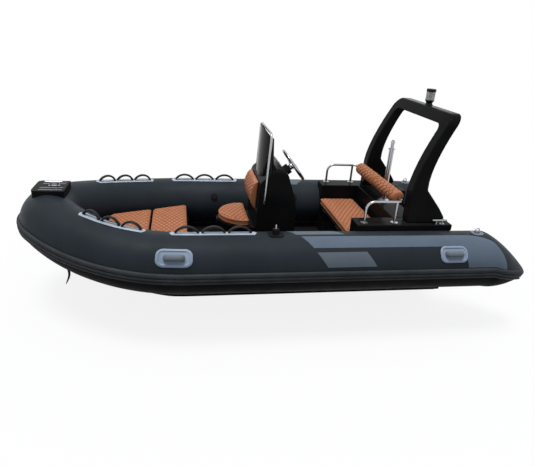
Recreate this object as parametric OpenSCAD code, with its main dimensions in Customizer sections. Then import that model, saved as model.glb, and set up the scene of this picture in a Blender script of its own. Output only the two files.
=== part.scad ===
// Rigid inflatable boat: a deep-V glass fibre hull with air tubes, a helm console,
// cushioned lockers, a stern bench and a light arch.
// Frame: +X to the bow, +Y to port, +Z up. The origin is on the waterline, amidships.

/* [Tubes] */
// Outside diameter of the air tubes
tube_d = 540; // [500:5:560]
// Half the distance between the two tube axes
tube_half_span = 800; // [790:5:840]
// Height of the tube axis above the waterline
tube_z = 490; // [470:5:510]
// Where the tubes start to curve in towards the bow
bow_start_x = 810; // [790:5:860]
// Plan radius of the long bow curve
bow_sweep_r = 1600; // [1520:10:1640]
// Plan radius of the nose
nose_r = 355.42; // [340:0.5:380]
// Rise of the tube axis at the bow
sheer_rise = 130; // [80:5:170]
// Where the sheer starts to rise
sheer_start_x = 1000; // [900:10:1100]
// Where the tail cones start
tail_start_x = -1960; // [-2050:10:-1930]
// Length of the tail cones
tail_len = 430; // [360:10:500]
// Radius of the tip of a tail cone
tail_tip_r = 35; // [25:1:50]
// Height of the rubbing strake
strake_h = 92; // [70:2:110]
// How far the rubbing strake stands out
strake_t = 24; // [16:1:30]

/* [Hull] */
// Depth of the keel below the waterline
draft = 200; // [180:5:230]
// Where the keel starts to rise to the stem
forefoot_x = 1000; // [900:10:1100]
// Inner face of the transom
transom_x = -1700; // [-1740:5:-1690]
// Thickness of the transom
transom_t = 50; // [40:1:60]
// Height of the motor cut-out above the keel
transom_cut_h = 530; // [500:5:560]
// Half the width of the motor cut-out
transom_cut_half = 330; // [280:5:360]
// Height of the cockpit sole above the waterline
sole_z = 260; // [255:1:275]
// Thickness of the cockpit sole
sole_t = 20; // [14:1:24]

/* [Lockers and seats] */
// Thickness of the locker walls
wall_t = 15; // [10:1:20]
// Thickness of a locker lid
lid_t = 15; // [12:1:18]
// Thickness of the seat cushions
cushion_t = 70; // [60:1:75]
// Gap round a lid or cushion
lid_gap = 6; // [5:0.5:8]
// Radius of a hinge barrel
hinge_r = 6; // [5:0.5:7]
// Aft face of the bow locker
bow_locker_x = 833; // [815:1:850]
// Length of the bow locker
bow_locker_len = 790; // [760:5:810]
// Gap between the bow locker and the tube at its aft face
bow_locker_gap = 24.8; // [20:0.1:50]
// Gap between the bow locker and the tube at its front
bow_locker_nose_gap = 64.6; // [55:0.1:100]
// Top of the bow locker
bow_locker_z = 495; // [480:5:510]
// Length of the bow locker's hinged part
bow_lid_len = 370; // [340:5:390]
// Top of the console seat's box
seat_z = 607; // [580:1:620]
// Half width of the console seat
seat_half = 266; // [240:1:275]
// Length of the console seat from its hinge to its nose
seat_len = 300; // [280:5:320]
// Top of the stern bench's box
bench_z = 585; // [570:1:595]
// Front of the stern bench
bench_x = -680; // [-690:1:-670]
// Depth of the stern bench
bench_depth = 410; // [390:1:420]
// Distance from the stern bench's side to the tube's axis
bench_clear = 310; // [305:1:320]

/* [Stern] */
// Top of the side decks and the stern deck
deck_z = 800; // [795:1:810]
// Front end of the side decks
side_deck_x = -705; // [-715:1:-698]
// How far the side decks' outer edge stops short of the tube's axis
side_deck_lap = 100; // [80:1:120]
// Front edge of the stern deck
stern_deck_x = -1130; // [-1140:1:-1120]
// Gap between the stern deck and the transom
stern_deck_gap = 40; // [20:1:50]
// Front of the motor well
well_x = -1380; // [-1400:5:-1360]

/* [Console] */
// Half width of the console
console_half = 300; // [280:1:310]
// Front face of the console
console_front_x = 180; // [170:1:185]
// Aft face of the console
console_aft_x = -209; // [-220:1:-200]
// Highest point of the dash
dash_z = 1200; // [1180:1:1210]
// Height of the windscreen's top edge
screen_top_z = 1505; // [1450:5:1515]
// Thickness of the windscreen
screen_t = 6; // [4:0.5:8]
// Diameter of the steering wheel
wheel_d = 370; // [340:5:390]
// Slope of the steering wheel's shaft above level
wheel_tilt = 38; // [34:1:42]

/* [Rails and arch] */
// Diameter of the stainless rails
rail_d = 25; // [22:0.5:28]
// Height of the seat rail above the side deck
rail_h = 207; // [190:1:215]
// Diameter of the backrest bolsters
bolster_d = 130; // [110:1:140]
// Gap between a bolster and the rail's corner
bolster_end_gap = 62; // [55:1:90]
// How far the light arch stands in from the side decks' outer edge
arch_set_in = 50; // [30:1:60]
// Width of an arch leg seen from the front
arch_leg_w = 120; // [100:1:130]
// Top of the light arch above the waterline
arch_top_z = 1815; // [1760:5:1850]
// Depth of the arch's top bar
arch_bar_h = 105; // [80:1:115]
// Diameter of the tow post
tow_post_d = 50; // [42:1:55]
// Height of the tow post above the stern deck
tow_post_h = 650; // [600:5:700]

/* [Fittings] */
// Diameter of a grab loop's bar
loop_bar_d = 18; // [14:1:22]
// Length of a carrying handle's plate
carry_len = 285; // [260:5:300]
// Height of a carrying handle's plate
carry_h = 165; // [140:5:180]
// Diameter of an oarlock pin
oar_pin_d = 12; // [10:0.5:14]
// Length of an oarlock pin above its boss
oar_pin_len = 40; // [30:1:50]
// Hole in the bow eye
bow_eye_hole_d = 18; // [14:1:20]
// Width of the bow strap
strap_w = 26; // [24:1:30]

/* [Hidden] */
$fn = 48;

// Clearance between curved faces that seat on each other
fit = 0.3;
tube_r = tube_d / 2;
tube_sides = 24;
// The long bow curve turns until it meets the nose's arc
bow_turn = acos((bow_sweep_r - tube_half_span) / (bow_sweep_r - nose_r));
nose_x = bow_start_x + (bow_sweep_r - nose_r) * sin(bow_turn);
bow_x = nose_x + nose_r;
keel_z = -draft;
stern_deck_end_x = transom_x + stern_deck_gap;
bench_half = tube_half_span - bench_clear;
side_deck_half = tube_half_span - side_deck_lap;
arch_half = side_deck_half - arch_set_in;
// Half the free width between the tubes at a place along the boat
function between_tubes(x) = let (a = asin(max(0, x - bow_start_x) / bow_sweep_r))
  tube_half_span - bow_sweep_r * (1 - cos(a)) - tube_r / cos(a);

// A station of the tube path is [x, y, plan angle, radius, height]
function sheer(x) = tube_z + sheer_rise * pow(max(0, x - sheer_start_x) / (bow_x - sheer_start_x), 2);
function line_at(x) = [x, tube_half_span, 0, tube_r, sheer(x)];
function sweep_at(a) = let (x = bow_start_x + bow_sweep_r * sin(a))
  [x, tube_half_span - bow_sweep_r * (1 - cos(a)), a, tube_r, sheer(x)];
function nose_at(a) = let (x = nose_x + nose_r * sin(a)) [x, nose_r * cos(a), a, tube_r, sheer(x)];
tail_drop = 105;
tail_spread = 100;
function tail_at(t) = [tail_start_x - tail_len * t, tube_half_span + tail_spread * t, 0,
  tube_r - (tube_r - tail_tip_r) * pow(t, 1.5), tube_z - tail_drop * t];

sweep_steps = 10;
nose_steps = 6;
sweep_stations = [for (i = [1 : sweep_steps]) sweep_at(bow_turn * i / sweep_steps)];
nose_stations = [for (i = [1 : nose_steps]) nose_at(bow_turn + (90 - bow_turn) * i / nose_steps)];
tail_stations = [for (t = [1, 0.93, 0.8, 0.6, 0.4, 0.2]) tail_at(t)];
tube_stations = concat(tail_stations, [line_at(tail_start_x), line_at(bow_start_x)], sweep_stations, nose_stations);

// A point on or off the tube: phi is 0 on the outer side and 90 on top, out is measured from the skin
function on_tube(st, phi, out) = let (r = st[3] + out)
  [st[0] + r * cos(phi) * sin(st[2]), st[1] + r * cos(phi) * cos(st[2]), st[4] + r * sin(phi)];
function flip_y(points) = [for (p = points) [p[0], -p[1], p[2]]];
function reversed(list) = [for (i = [len(list) - 1 : -1 : 0]) list[i]];

// Skin over rings that all have the same number of points, in order from one end to the other
// A thin shell's ends are closed by quads across its thickness
module loft(rings, shell = false) {
  n = len(rings[0]);
  last = len(rings) - 1;
  sides = [for (i = [0 : last - 1], j = [0 : n - 1]) let (k = (j + 1) % n)
    each [[i * n + j, (i + 1) * n + j, i * n + k], [i * n + k, (i + 1) * n + j, (i + 1) * n + k]]];
  cap = shell ? [for (j = [0 : n / 2 - 2]) each [[j, j + 1, n - 2 - j], [j, n - 2 - j, n - 1 - j]]]
    : [[for (j = [0 : n - 1]) j]];
  end_cap = [for (face = cap) [for (j = reversed(face)) last * n + j]];
  polyhedron([for (r = rings) each r], concat(cap, sides, end_cap), convexity = 8);
}

module mirrored_pair() {
  children();
  mirror([0, 1, 0]) children();
}

function tube_ring(st, grow) = [for (j = [0 : tube_sides - 1]) on_tube(st, 360 * j / tube_sides, grow)];
module tube_side(grow = 0) {
  loft([for (st = tube_stations) tube_ring(st, grow)]);
}

// A patch of even thickness that follows the tube: rows are [station, half angle]
patch_steps = 8;
function patch_ring(st, phi, half, t, steps = patch_steps) = concat(
  [for (i = [0 : steps]) on_tube(st, phi - half + 2 * half * i / steps, fit)],
  [for (i = [steps : -1 : 0]) on_tube(st, phi - half + 2 * half * i / steps, fit + t)]);
module tube_patch(rows, phi, t) {
  loft([for (row = reversed(rows)) patch_ring(row[0], phi, row[1], t)], shell = true);
}
function degrees_on_tube(w) = w / tube_r * 180 / PI;

// Station at a distance s along the tube from the start of the bow curve, forward positive
function path_at(s) = s < 0 ? line_at(bow_start_x + s) : sweep_at(s / bow_sweep_r * 180 / PI);
// Rows of a rounded patch of length l and width w about s; the ends are half circles cut by the patch's corners
patch_ends = [-1, -0.95, -0.82, -0.6, -0.3, 0, 0.3, 0.6, 0.82, 0.95, 1];
patch_widths = [0.42, 0.66, 0.88, 1, 1, 1, 1, 1, 0.88, 0.66, 0.42];
function round_rows(s, l, w) = [for (i = [0 : len(patch_ends) - 1])
  [path_at(s + l / 2 * patch_ends[i]), degrees_on_tube(w / 2 * patch_widths[i])]];

// Turns a fitting made at the origin, with its foot on z = 0 and x along the tube, to its place on the tube
function sheer_bend(x) = x > sheer_start_x ? sheer_rise / pow(bow_x - sheer_start_x, 2) : 0;
function sheer_pitch(st) = atan(2 * sheer_bend(st[0]) * (st[0] - sheer_start_x) * cos(st[2]));
module seat_on_tube(st, phi) {
  translate(on_tube(st, phi, fit)) rotate([0, 0, -st[2]]) rotate([0, -sheer_pitch(st), 0]) rotate([phi - 90, 0, 0])
    children();
}

// Hull
// The seat of the tube moves from the inner side to straight under it along the bow: [from angle, phi, gap]
seat_table = [[-1, -135, fit], [31, -120, 4], [46, -105, 4], [65, -90, 4]];
function seat_row(a) = seat_table[len([for (row = seat_table) if (a > row[0]) 1]) - 1];
function hull_edge(st) = let (row = seat_row(st[2])) on_tube(st, row[1], row[2]);
stem_gap = 24;
stem_z = sheer(bow_x) - tube_r - stem_gap;
stem_power = 2.75;
function keel_at(x) = keel_z + (stem_z - keel_z) * pow(max(0, x - forefoot_x) / (bow_x - forefoot_x), stem_power);
chine_share = 0.92;
chine_flat = 0.04;
chine_rise = 0.45;
chine_bow_rise = 0.2;
hull_wall = 25;
// Spray rails run along the bottom: [inner edge, outer edge] as shares of the way from keel to chine
spray_rails = [[0.30, 0.36], [0.62, 0.68]];
function hull_wall_at(edge) = min(hull_wall, 0.2 * edge[1]);
function hull_half(edge) = let (
  k = keel_at(edge[0]),
  lift = chine_rise + chine_bow_rise * max(0, edge[0] - forefoot_x) / (bow_x - forefoot_x),
  cy = chine_share * edge[1],
  cz = k + lift * (edge[2] - k),
  in_y = edge[1] - hull_wall_at(edge),
  top = max(sole_z - sole_t, k + 0.6 * (edge[2] - k)))
  concat(
    [for (r = spray_rails) each [
      [edge[0], cy * r[0], k + (cz - k) * r[0]],
      [edge[0], cy * r[1], k + (cz - k) * r[0]],
      [edge[0], cy * r[1], k + (cz - k) * r[1]]]],
    [[edge[0], cy, cz], [edge[0], cy + chine_flat * edge[1], cz], edge, [edge[0], in_y, edge[2]],
      [edge[0], in_y, top]]);
function hull_ring(edge) = let (half = hull_half(edge))
  concat([[edge[0], 0, keel_at(edge[0])]], half, reversed(flip_y(half)));
hull_stations = concat([line_at(transom_x), line_at(bow_start_x)], sweep_stations,
  [for (i = [0 : nose_steps - 2]) nose_stations[i]]);
hull_edges = [for (st = hull_stations) hull_edge(st)];

module hull() {
  color("#141416") loft([for (e = hull_edges) hull_ring(e)]);
}

// The sole stops under the bow locker's nose
sole_short = 319;
sole_end_x = bow_x - sole_short;
module cockpit_sole() {
  edge = [for (e = hull_edges) if (e[0] < sole_end_x) [e[0], e[1] - hull_wall_at(e) - 1]];
  color("#1b1b1d") translate([0, 0, sole_z - sole_t]) linear_extrude(sole_t)
    polygon(concat(edge, reversed([for (p = edge) [p[0], -p[1]]])));
}

transom_top_z = 620;
// Slope of the cut-out's sides, and how far the outline runs into the tubes before they are cut away
transom_cut_flare = 60;
transom_run = 20;
module transom() {
  edge = hull_edge(line_at(transom_x));
  half = hull_half(edge);
  cut_z = keel_z + transom_cut_h;
  // Starboard half of the outline from the keel up, then round the cut-out
  bottom = [for (i = [0 : len(half) - 4]) [half[i][1], half[i][2]]];
  side = concat(bottom, [[edge[1] + 1, edge[2] + 1], [edge[1] + transom_run, transom_top_z],
    [transom_cut_half + transom_cut_flare, transom_top_z], [transom_cut_half, cut_z]]);
  color("#141416") translate([transom_x, 0, 0]) rotate([90, 0, -90]) linear_extrude(transom_t) difference() {
    polygon(concat([[0, keel_z]], side, reversed([for (p = side) [-p[0], p[1]]])));
    for (flank = [-1, 1]) translate([flank * tube_half_span, tube_z]) circle(tube_r + fit);
  }
}

// Tubes
module tube_port() {
  color("#33383f") tube_side();
}

module tube_starboard() {
  color("#33383f") mirror([0, 1, 0]) tube_side();
}

// The strake's section, from its lower edge up: [share of its height, share of its thickness]
strake_profile = [[-0.5, 0.35], [-0.44, 0.8], [-0.24, 1], [-0.19, 0.6], [-0.14, 1], [0.14, 1], [0.19, 0.6],
  [0.24, 1], [0.44, 0.8], [0.5, 0.35]];
strake_phi = -3;
strake_steps = 7;
strake_gap = 0.8;
function strake_ring(st) = let (
  angle = function (v) strake_phi + v * strake_h / st[3] * 180 / PI)
  concat([for (i = [0 : strake_steps]) on_tube(st, angle(0.5 - i / strake_steps), strake_gap)],
    [for (p = strake_profile) on_tube(st, angle(p[0]), strake_gap + strake_t * p[1])]);
module rub_strake() {
  port = [for (i = [2 : len(tube_stations) - 1]) strake_ring(tube_stations[i])];
  starboard = [for (i = [len(port) - 2 : -1 : 0]) flip_y(port[i])];
  color("#24272b") loft(concat(port, starboard));
}

// Bow fittings
bow_step_aft = 161.8;
bow_step_fwd = 126.2;
bow_step_x = [bow_x - bow_step_aft, bow_x + bow_step_fwd];
bow_step_half = 160;
bow_step_rise = 30;
bow_step_drop = 60;
bow_step_z = sheer(bow_x) + tube_r + bow_step_rise;
bow_step_low_z = sheer(bow_x) + tube_r - bow_step_drop;
bow_step_corner_r = 40;
module bow_step() {
  color("#111112") difference() {
    translate([0, 0, bow_step_low_z]) linear_extrude(bow_step_z - bow_step_low_z) {
      r = bow_step_corner_r;
      translate([bow_step_x[0], -bow_step_half]) square([bow_step_x[1] - bow_step_x[0] - r, 2 * bow_step_half]);
      translate([bow_step_x[0], r - bow_step_half])
        square([bow_step_x[1] - bow_step_x[0], 2 * (bow_step_half - r)]);
      for (side = [-1, 1]) translate([bow_step_x[1] - r, side * (bow_step_half - r)]) circle(r);
    }
    mirrored_pair() loft([for (i = [len(sweep_stations) - 2 : len(sweep_stations) + nose_steps - 1])
      tube_ring(concat(sweep_stations, nose_stations)[i], fit)]);
  }
}

cleat_len = 150;
cleat_bar_r = 9;
cleat_h = 38;
cleat_foot = [100, 32, 5];
cleat_set_back = 30;
module cleat() {
  for (side = [-1, 1]) translate([side * cleat_len / 5, 0, 0])
    cylinder(h = cleat_h - cleat_bar_r / 2, r = cleat_bar_r);
  translate([-cleat_len / 2, 0, cleat_h]) rotate([0, 90, 0]) cylinder(h = cleat_len, r = cleat_bar_r);
  translate([-cleat_foot[0] / 2, -cleat_foot[1] / 2, 0]) cube(cleat_foot);
}
module bow_cleat() {
  color("silver") translate([(bow_step_x[0] + bow_step_x[1]) / 2 - cleat_set_back, 0, bow_step_z]) cleat();
}

// The eye stands on the stem, square to it; the stem is made of straight runs between the hull's rings
bow_eye_back = 98.8;
bow_eye_x = bow_x - bow_eye_back;
bow_eye_t = 14;
bow_eye_r = 26;
bow_eye_reach = 42;
function keel_line(x) = lookup(x, [for (e = hull_edges) [e[0], keel_at(e[0])]]);
stem_slope = atan2(keel_line(bow_eye_x + bow_eye_r) - keel_line(bow_eye_x - bow_eye_r), 2 * bow_eye_r);
module bow_eye() {
  color("silver") translate([bow_eye_x, 0, keel_line(bow_eye_x)]) rotate([0, -stem_slope, 0])
    rotate([90, 0, 0]) translate([0, -fit, -bow_eye_t / 2]) linear_extrude(bow_eye_t) difference() {
      union() {
        translate([-bow_eye_r, -bow_eye_reach]) square([2 * bow_eye_r, bow_eye_reach]);
        translate([0, -bow_eye_reach]) circle(bow_eye_r);
      }
      translate([0, -bow_eye_reach]) circle(d = bow_eye_hole_d);
    }
}
bow_eye_hole = [bow_eye_x + (bow_eye_reach + fit) * sin(stem_slope), 0,
  keel_line(bow_eye_x) - (bow_eye_reach + fit) * cos(stem_slope)];

// The strap is folded through the eye: [y, z] from the eye's hole, then its share of the width
strap_fold = [[-4, -62, 1], [-5, -48, 1], [-9, -34, 0.8], [-10, -22, 0.5], [-10, -12, 0.45], [-9.2, -6, 0.45],
  [-6, -3, 0.45], [0, -2.5, 0.45], [6, -3, 0.45], [9.2, -6, 0.45], [10, -12, 0.45], [10, -22, 0.5], [9, -34, 0.8],
  [5, -48, 1], [4, -62, 1], [4, -80, 1]];
// Below the fold it hangs free, sways a little and turns edge-on towards its end
strap_hang = 228;
strap_hang_steps = 15;
strap_sway = 30;
strap_sway_turn = 200;
strap_twist = 80;
strap_twist_from = 0.35;
strap_low = strap_fold[len(strap_fold) - 1];
strap_tail = [for (i = [1 : strap_hang_steps]) let (u = i / strap_hang_steps)
  [-strap_sway * sin(strap_sway_turn * u), strap_low[0], strap_low[1] - strap_hang * u]];
strap_route = concat([for (p = strap_fold) bow_eye_hole + [0, p[0], p[1]]], [for (p = strap_tail) bow_eye_hole + p]);
function strap_width(i) = strap_w * (i < len(strap_fold) ? strap_fold[i][2] : 1);
function strap_turn(i) = let (u = (i + 1 - len(strap_fold)) / strap_hang_steps)
  strap_twist * max(0, u - strap_twist_from) / (1 - strap_twist_from);
strap_t = 5;
strap_sides = 8;
function unit(v) = v / norm(v);
function strap_ring(i) = let (
  a = strap_route[max(0, i - 1)],
  b = strap_route[min(len(strap_route) - 1, i + 1)],
  along = unit(b - a),
  fore = unit([1, 0, 0] - along * along[0]),
  wide = fore * cos(strap_turn(i)) + cross(along, fore) * sin(strap_turn(i)),
  thick = cross(along, wide))
  [for (j = [0 : strap_sides - 1]) strap_route[i] + wide * strap_width(i) / 2 * cos(360 * j / strap_sides)
    + thick * strap_t / 2 * sin(360 * j / strap_sides)];
module bow_strap() {
  color("#151515") loft([for (i = [0 : len(strap_route) - 1]) strap_ring(i)]);
}

// Hinges
// Knuckles lie along Y on the axis; those of the lid and those of the box stand side by side
knuckle_len = 60;
knuckle_gap = 1;
module knuckles(spread, of_lid) {
  for (y = [-spread, spread]) translate([0, of_lid ? y + knuckle_gap : y - knuckle_len, 0])
    rotate([-90, 0, 0]) cylinder(h = knuckle_len, r = hinge_r);
}
module leaves(spread, of_lid, x, z, reach, h) {
  for (y = [-spread, spread]) translate([x, of_lid ? y + knuckle_gap : y - knuckle_len, z])
    cube([reach, knuckle_len, h]);
}

// A front hinge: the lid's knuckle is in the middle, and the box's two knuckles stand on brackets beside it
front_half = 30;
bracket_t = 10;
hinge_slack = 0.5;
module front_knuckle(hinge, y) {
  translate([hinge[0], y - front_half, hinge[2]]) rotate([-90, 0, 0]) cylinder(h = 2 * front_half, r = hinge_r);
  translate([hinge[0] - 3 * hinge_r, y - front_half, hinge[2]]) cube([3 * hinge_r, 2 * front_half, hinge_r]);
}
module front_bracket(hinge, y, face_x, top_z) {
  for (y0 = [y - 2 * front_half - knuckle_gap, y + front_half + knuckle_gap]) {
    translate([hinge[0], y0, hinge[2]]) rotate([-90, 0, 0]) cylinder(h = front_half, r = hinge_r);
    translate([face_x, y0, top_z - bracket_t]) cube([hinge[0] + hinge_r - face_x, front_half, bracket_t]);
    translate([hinge[0] - hinge_r, y0, top_z - bracket_t])
      cube([2 * hinge_r, front_half, hinge[2] - top_z + bracket_t]);
  }
}

// Bow locker and its cushions
bow_locker_front_x = bow_locker_x + bow_locker_len;
bow_locker_half = between_tubes(bow_locker_x) - bow_locker_gap;
bow_locker_nose_half = between_tubes(bow_locker_front_x) - bow_locker_nose_gap;
bow_split_x = bow_locker_x + bow_lid_len;
function locker_half(x) = bow_locker_half
  + (bow_locker_nose_half - bow_locker_half) * (x - bow_locker_x) / bow_locker_len;
module locker_plan(x0, x1, inset) {
  a = locker_half(x0) - inset;
  b = locker_half(x1) - inset;
  polygon([[x0, -a], [x1, -b], [x1, b], [x0, a]]);
}
bow_lid_z = bow_locker_z - lid_t;
bow_hinge = [bow_locker_x - hinge_r - hinge_slack, 0, bow_lid_z];
bow_knuckle_y = bow_locker_half / 2;
module bow_locker() {
  color("#161618") {
    difference() {
      translate([0, 0, sole_z]) linear_extrude(bow_locker_z - sole_z)
        locker_plan(bow_locker_x, bow_locker_front_x, 0);
      translate([0, 0, sole_z - 1]) linear_extrude(bow_lid_z - sole_z + 1)
        locker_plan(bow_locker_x + wall_t, bow_locker_front_x - wall_t, wall_t);
      translate([bow_locker_x - 1, -tube_half_span, bow_lid_z - fit])
        cube([bow_lid_len + 1, 2 * tube_half_span, lid_t + 1]);
    }
    translate(bow_hinge) knuckles(bow_knuckle_y, false);
    leaves(bow_knuckle_y, false, bow_hinge[0], bow_lid_z - 4 * hinge_r, bow_locker_x - bow_hinge[0],
      4 * hinge_r - fit);
  }
}

module bow_lid() {
  color("#161618") {
    translate([0, 0, bow_lid_z]) linear_extrude(lid_t) locker_plan(bow_locker_x, bow_split_x - lid_gap, 0);
    translate(bow_hinge) knuckles(bow_knuckle_y, true);
    leaves(bow_knuckle_y, true, bow_hinge[0], bow_lid_z, bow_locker_x - bow_hinge[0] + 1, hinge_r);
  }
}

cushion_inset = 8;
module bow_cushion_fwd() {
  color("#a5653f") translate([0, 0, bow_locker_z]) linear_extrude(cushion_t)
    locker_plan(bow_split_x, bow_locker_front_x - cushion_inset, cushion_inset);
}

module bow_cushion_aft() {
  color("#a5653f") translate([0, 0, bow_locker_z]) linear_extrude(cushion_t)
    locker_plan(bow_locker_x + 2, bow_split_x - lid_gap, cushion_inset);
}

// Console seat
seat_back_gap = 54;
seat_x = console_front_x + seat_back_gap;
seat_lid_z = seat_z - lid_t;
seat_inset = 20;
seat_hinge = [seat_x + seat_len + hinge_r + hinge_slack, 0, seat_lid_z + hinge_r + fit];
module seat_plan(inset) {
  r = seat_half - inset;
  translate([seat_x, -r]) square([seat_len - seat_half, 2 * r]);
  translate([seat_x + seat_len - seat_half, 0]) intersection() {
    circle(r);
    translate([0, -r]) square(2 * r);
  }
}
module seat_base() {
  r = seat_half - seat_inset;
  color("#141416") {
    difference() {
      translate([0, 0, sole_z]) linear_extrude(seat_lid_z - fit - sole_z) {
        seat_plan(seat_inset);
        translate([console_front_x, -r]) square([seat_back_gap, 2 * r]);
      }
      translate([0, 0, sole_z - 1]) linear_extrude(seat_lid_z - sole_z + 1) intersection() {
        seat_plan(seat_inset + wall_t);
        translate([seat_x + wall_t, -seat_half]) square(2 * seat_half);
      }
    }
    front_bracket(seat_hinge, 0, seat_x + seat_len - seat_inset - 0.8 * wall_t, seat_lid_z - fit);
  }
}

module seat_lid() {
  color("#141416") {
    translate([0, 0, seat_lid_z]) linear_extrude(lid_t) seat_plan(0);
    front_knuckle(seat_hinge, 0);
  }
}

module seat_cushion() {
  color("#a5653f") translate([0, 0, seat_z]) linear_extrude(cushion_t) difference() {
    seat_plan(2);
    translate([seat_x - 1, -seat_half]) square([3, 2 * seat_half]);
  }
}

// Console
// Side outline of the console, as [x, z]: up the front, over the dash's top and down its panel
front_knee_z = 760;
front_shoulder_z = 1040;
front_lean = 15;
top_x = [10, -60, -100];
top_drop = [125, 8, 45];
panel_low_z = 952;
panel_low_reach = 34;
aft_knee_z = 800;
console_outline = [[console_front_x, sole_z], [console_front_x, front_knee_z],
  [console_front_x - front_lean, front_shoulder_z], [console_front_x - 2 * front_lean, dash_z - top_drop[0]],
  [top_x[0], dash_z], [top_x[1], dash_z - top_drop[1]], [top_x[2], dash_z - top_drop[2]],
  [console_aft_x + panel_low_reach, panel_low_z], [console_aft_x, aft_knee_z], [console_aft_x, sole_z]];
console_corner_r = 50;
module console_block() {
  rotate([90, 0, 0]) translate([0, 0, -console_half]) linear_extrude(2 * console_half) polygon(console_outline);
}
module console() {
  r = console_corner_r;
  color("#121214") intersection() {
    console_block();
    translate([console_aft_x - 1, 0, 0]) rotate([90, 0, 90]) linear_extrude(console_front_x - console_aft_x + 2) {
      translate([-console_half, sole_z]) square([2 * console_half, dash_z - r - sole_z]);
      translate([-console_half + r, sole_z]) square([2 * (console_half - r), dash_z - sole_z]);
      for (side = [-1, 1]) translate([side * (console_half - r), dash_z - r]) circle(r);
    }
  }
}

// The pad is bowed: its front is an arc seen from the side
pad_z = [770, 1062];
pad_half = 235;
pad_t = 62;
pad_belly_r = 220;
pad_gap = 0.5;
module backrest_pad() {
  belly_z = (pad_z[0] + pad_z[1]) / 2;
  back_x = console_front_x - 2 * front_lean;
  color("#a5653f") rotate([90, 0, 0]) translate([0, 0, -pad_half]) linear_extrude(2 * pad_half) difference() {
    intersection() {
      translate([console_front_x + pad_t - pad_belly_r, belly_z]) circle(pad_belly_r);
      translate([back_x, pad_z[0]]) square([console_front_x + 2 * pad_t - back_x, pad_z[1] - pad_z[0]]);
    }
    offset(delta = pad_gap) polygon(console_outline);
  }
}

// The windscreen wraps round the dash: rings of [foot, head] along its plan angle
screen_foot = [10, 145, 285];
screen_head = [30, 105, 265];
screen_crown = 55;
screen_drop = 90;
screen_ends = 78;
screen_steps = 12;
dash_slope = top_drop[0] / (console_front_x - 2 * front_lean - top_x[0]);
function screen_edge(e, a, t) = [e[0] + (e[1] - t) * cos(a), (e[2] - t) * sin(a)];
function screen_foot_at(a, t) = let (p = screen_edge(screen_foot, a, t))
  [p[0], p[1], dash_z - (p[0] - top_x[0]) * dash_slope + fit];
function screen_head_at(a, t) = let (p = screen_edge(screen_head, a, t))
  [p[0], p[1], screen_top_z + screen_crown - screen_drop * pow(sin(a), 2)];
function screen_ring(a) = [screen_foot_at(a, 0), screen_head_at(a, 0), screen_head_at(a, screen_t),
  screen_foot_at(a, screen_t)];
module windscreen() {
  color("#101014", 0.7)
    loft([for (i = [0 : screen_steps]) screen_ring(screen_ends - 2 * screen_ends * i / screen_steps)]);
}

// A run of round tube between two points
module bar(a, b, d) {
  v = b - a;
  translate(a) rotate([0, acos(v[2] / norm(v)), atan2(v[1], v[0])]) cylinder(h = norm(v), d = d);
}

hoop_d = 22;
hoop_half = console_half + hoop_d / 2 + fit;
hoop_foot = [115, 861];
hoop_top = [84, 1531];
hoop_bend = 70;
hoop_lean = atan2(hoop_foot[0] - hoop_top[0], hoop_top[1] - hoop_foot[1]);
hoop_len = norm(hoop_top - hoop_foot);
module windscreen_rail() {
  color("silver") translate([hoop_foot[0], 0, hoop_foot[1]]) rotate([0, -hoop_lean, 0]) {
    mirrored_pair() {
      translate([0, hoop_half, 0]) cylinder(h = hoop_len - hoop_bend, d = hoop_d);
      translate([0, hoop_half - hoop_bend, hoop_len - hoop_bend]) rotate([90, 0, 90]) rotate_extrude(angle = 90)
        translate([hoop_bend, 0]) circle(d = hoop_d);
    }
    translate([0, -hoop_half + hoop_bend, hoop_len]) rotate([-90, 0, 0])
      cylinder(h = 2 * (hoop_half - hoop_bend), d = hoop_d);
  }
}

// Steering: the frame's +Z runs up the shaft from the wheel's centre
wheel_centre = [-214, 0, 1170];
wheel_rim_d = 28;
wheel_hub_d = 62;
wheel_spokes = 3;
helm_d = 105;
hub_low = -40;
hub_h = 34;
helm_len = 150;
helm_collar = 13;
spoke_d = 14;
module on_shaft() {
  translate(wheel_centre) rotate([0, -(90 - wheel_tilt), 0]) children();
}
module helm() {
  color("#0e0e10") difference() {
    on_shaft() {
      translate([0, 0, -helm_len]) cylinder(h = helm_len + hub_low - helm_collar + 1, d = helm_d);
      translate([0, 0, hub_low - helm_collar]) cylinder(h = helm_collar - fit, d = 0.84 * wheel_hub_d);
    }
    console_block();
  }
}
module steering_wheel() {
  rim_r = (wheel_d - wheel_rim_d) / 2;
  color("#202022") on_shaft() {
    rotate_extrude() translate([rim_r, 0]) circle(d = wheel_rim_d);
    translate([0, 0, hub_low]) cylinder(h = hub_h, d = wheel_hub_d);
    for (i = [0 : wheel_spokes - 1]) rotate([0, 0, 90 + 360 * i / wheel_spokes])
      bar([0.4 * wheel_hub_d, 0, hub_low + spoke_d], [rim_r, 0, 0], spoke_d);
  }
}

// Dash panel: the frame's +Z stands out of the panel
dash_top = console_outline[6];
dash_low = console_outline[7];
dash_lean = atan2(dash_top[0] - dash_low[0], dash_top[1] - dash_low[1]);
module on_dash(y, up) {
  p = dash_low + (dash_top - dash_low) * up;
  translate([p[0], y, p[1]]) rotate([0, -90 + dash_lean, 0]) children();
}
gauge_d = 85;
gauge_h = 8;
gauge_y = 205;
// Places up the dash panel, as shares of its height
gauge_up = 0.72;
switch_up = 0.22;
throttle_up = 0.1;
switch_size = [40, 100, 6];
module dash_gauges() {
  color("#26262a") {
    for (side = [-1, 1]) on_dash(side * gauge_y, gauge_up) cylinder(h = gauge_h, d = gauge_d);
    on_dash(gauge_y, switch_up) translate([-switch_size[0] / 2, -switch_size[1] / 2, 0]) cube(switch_size);
  }
}
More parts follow.
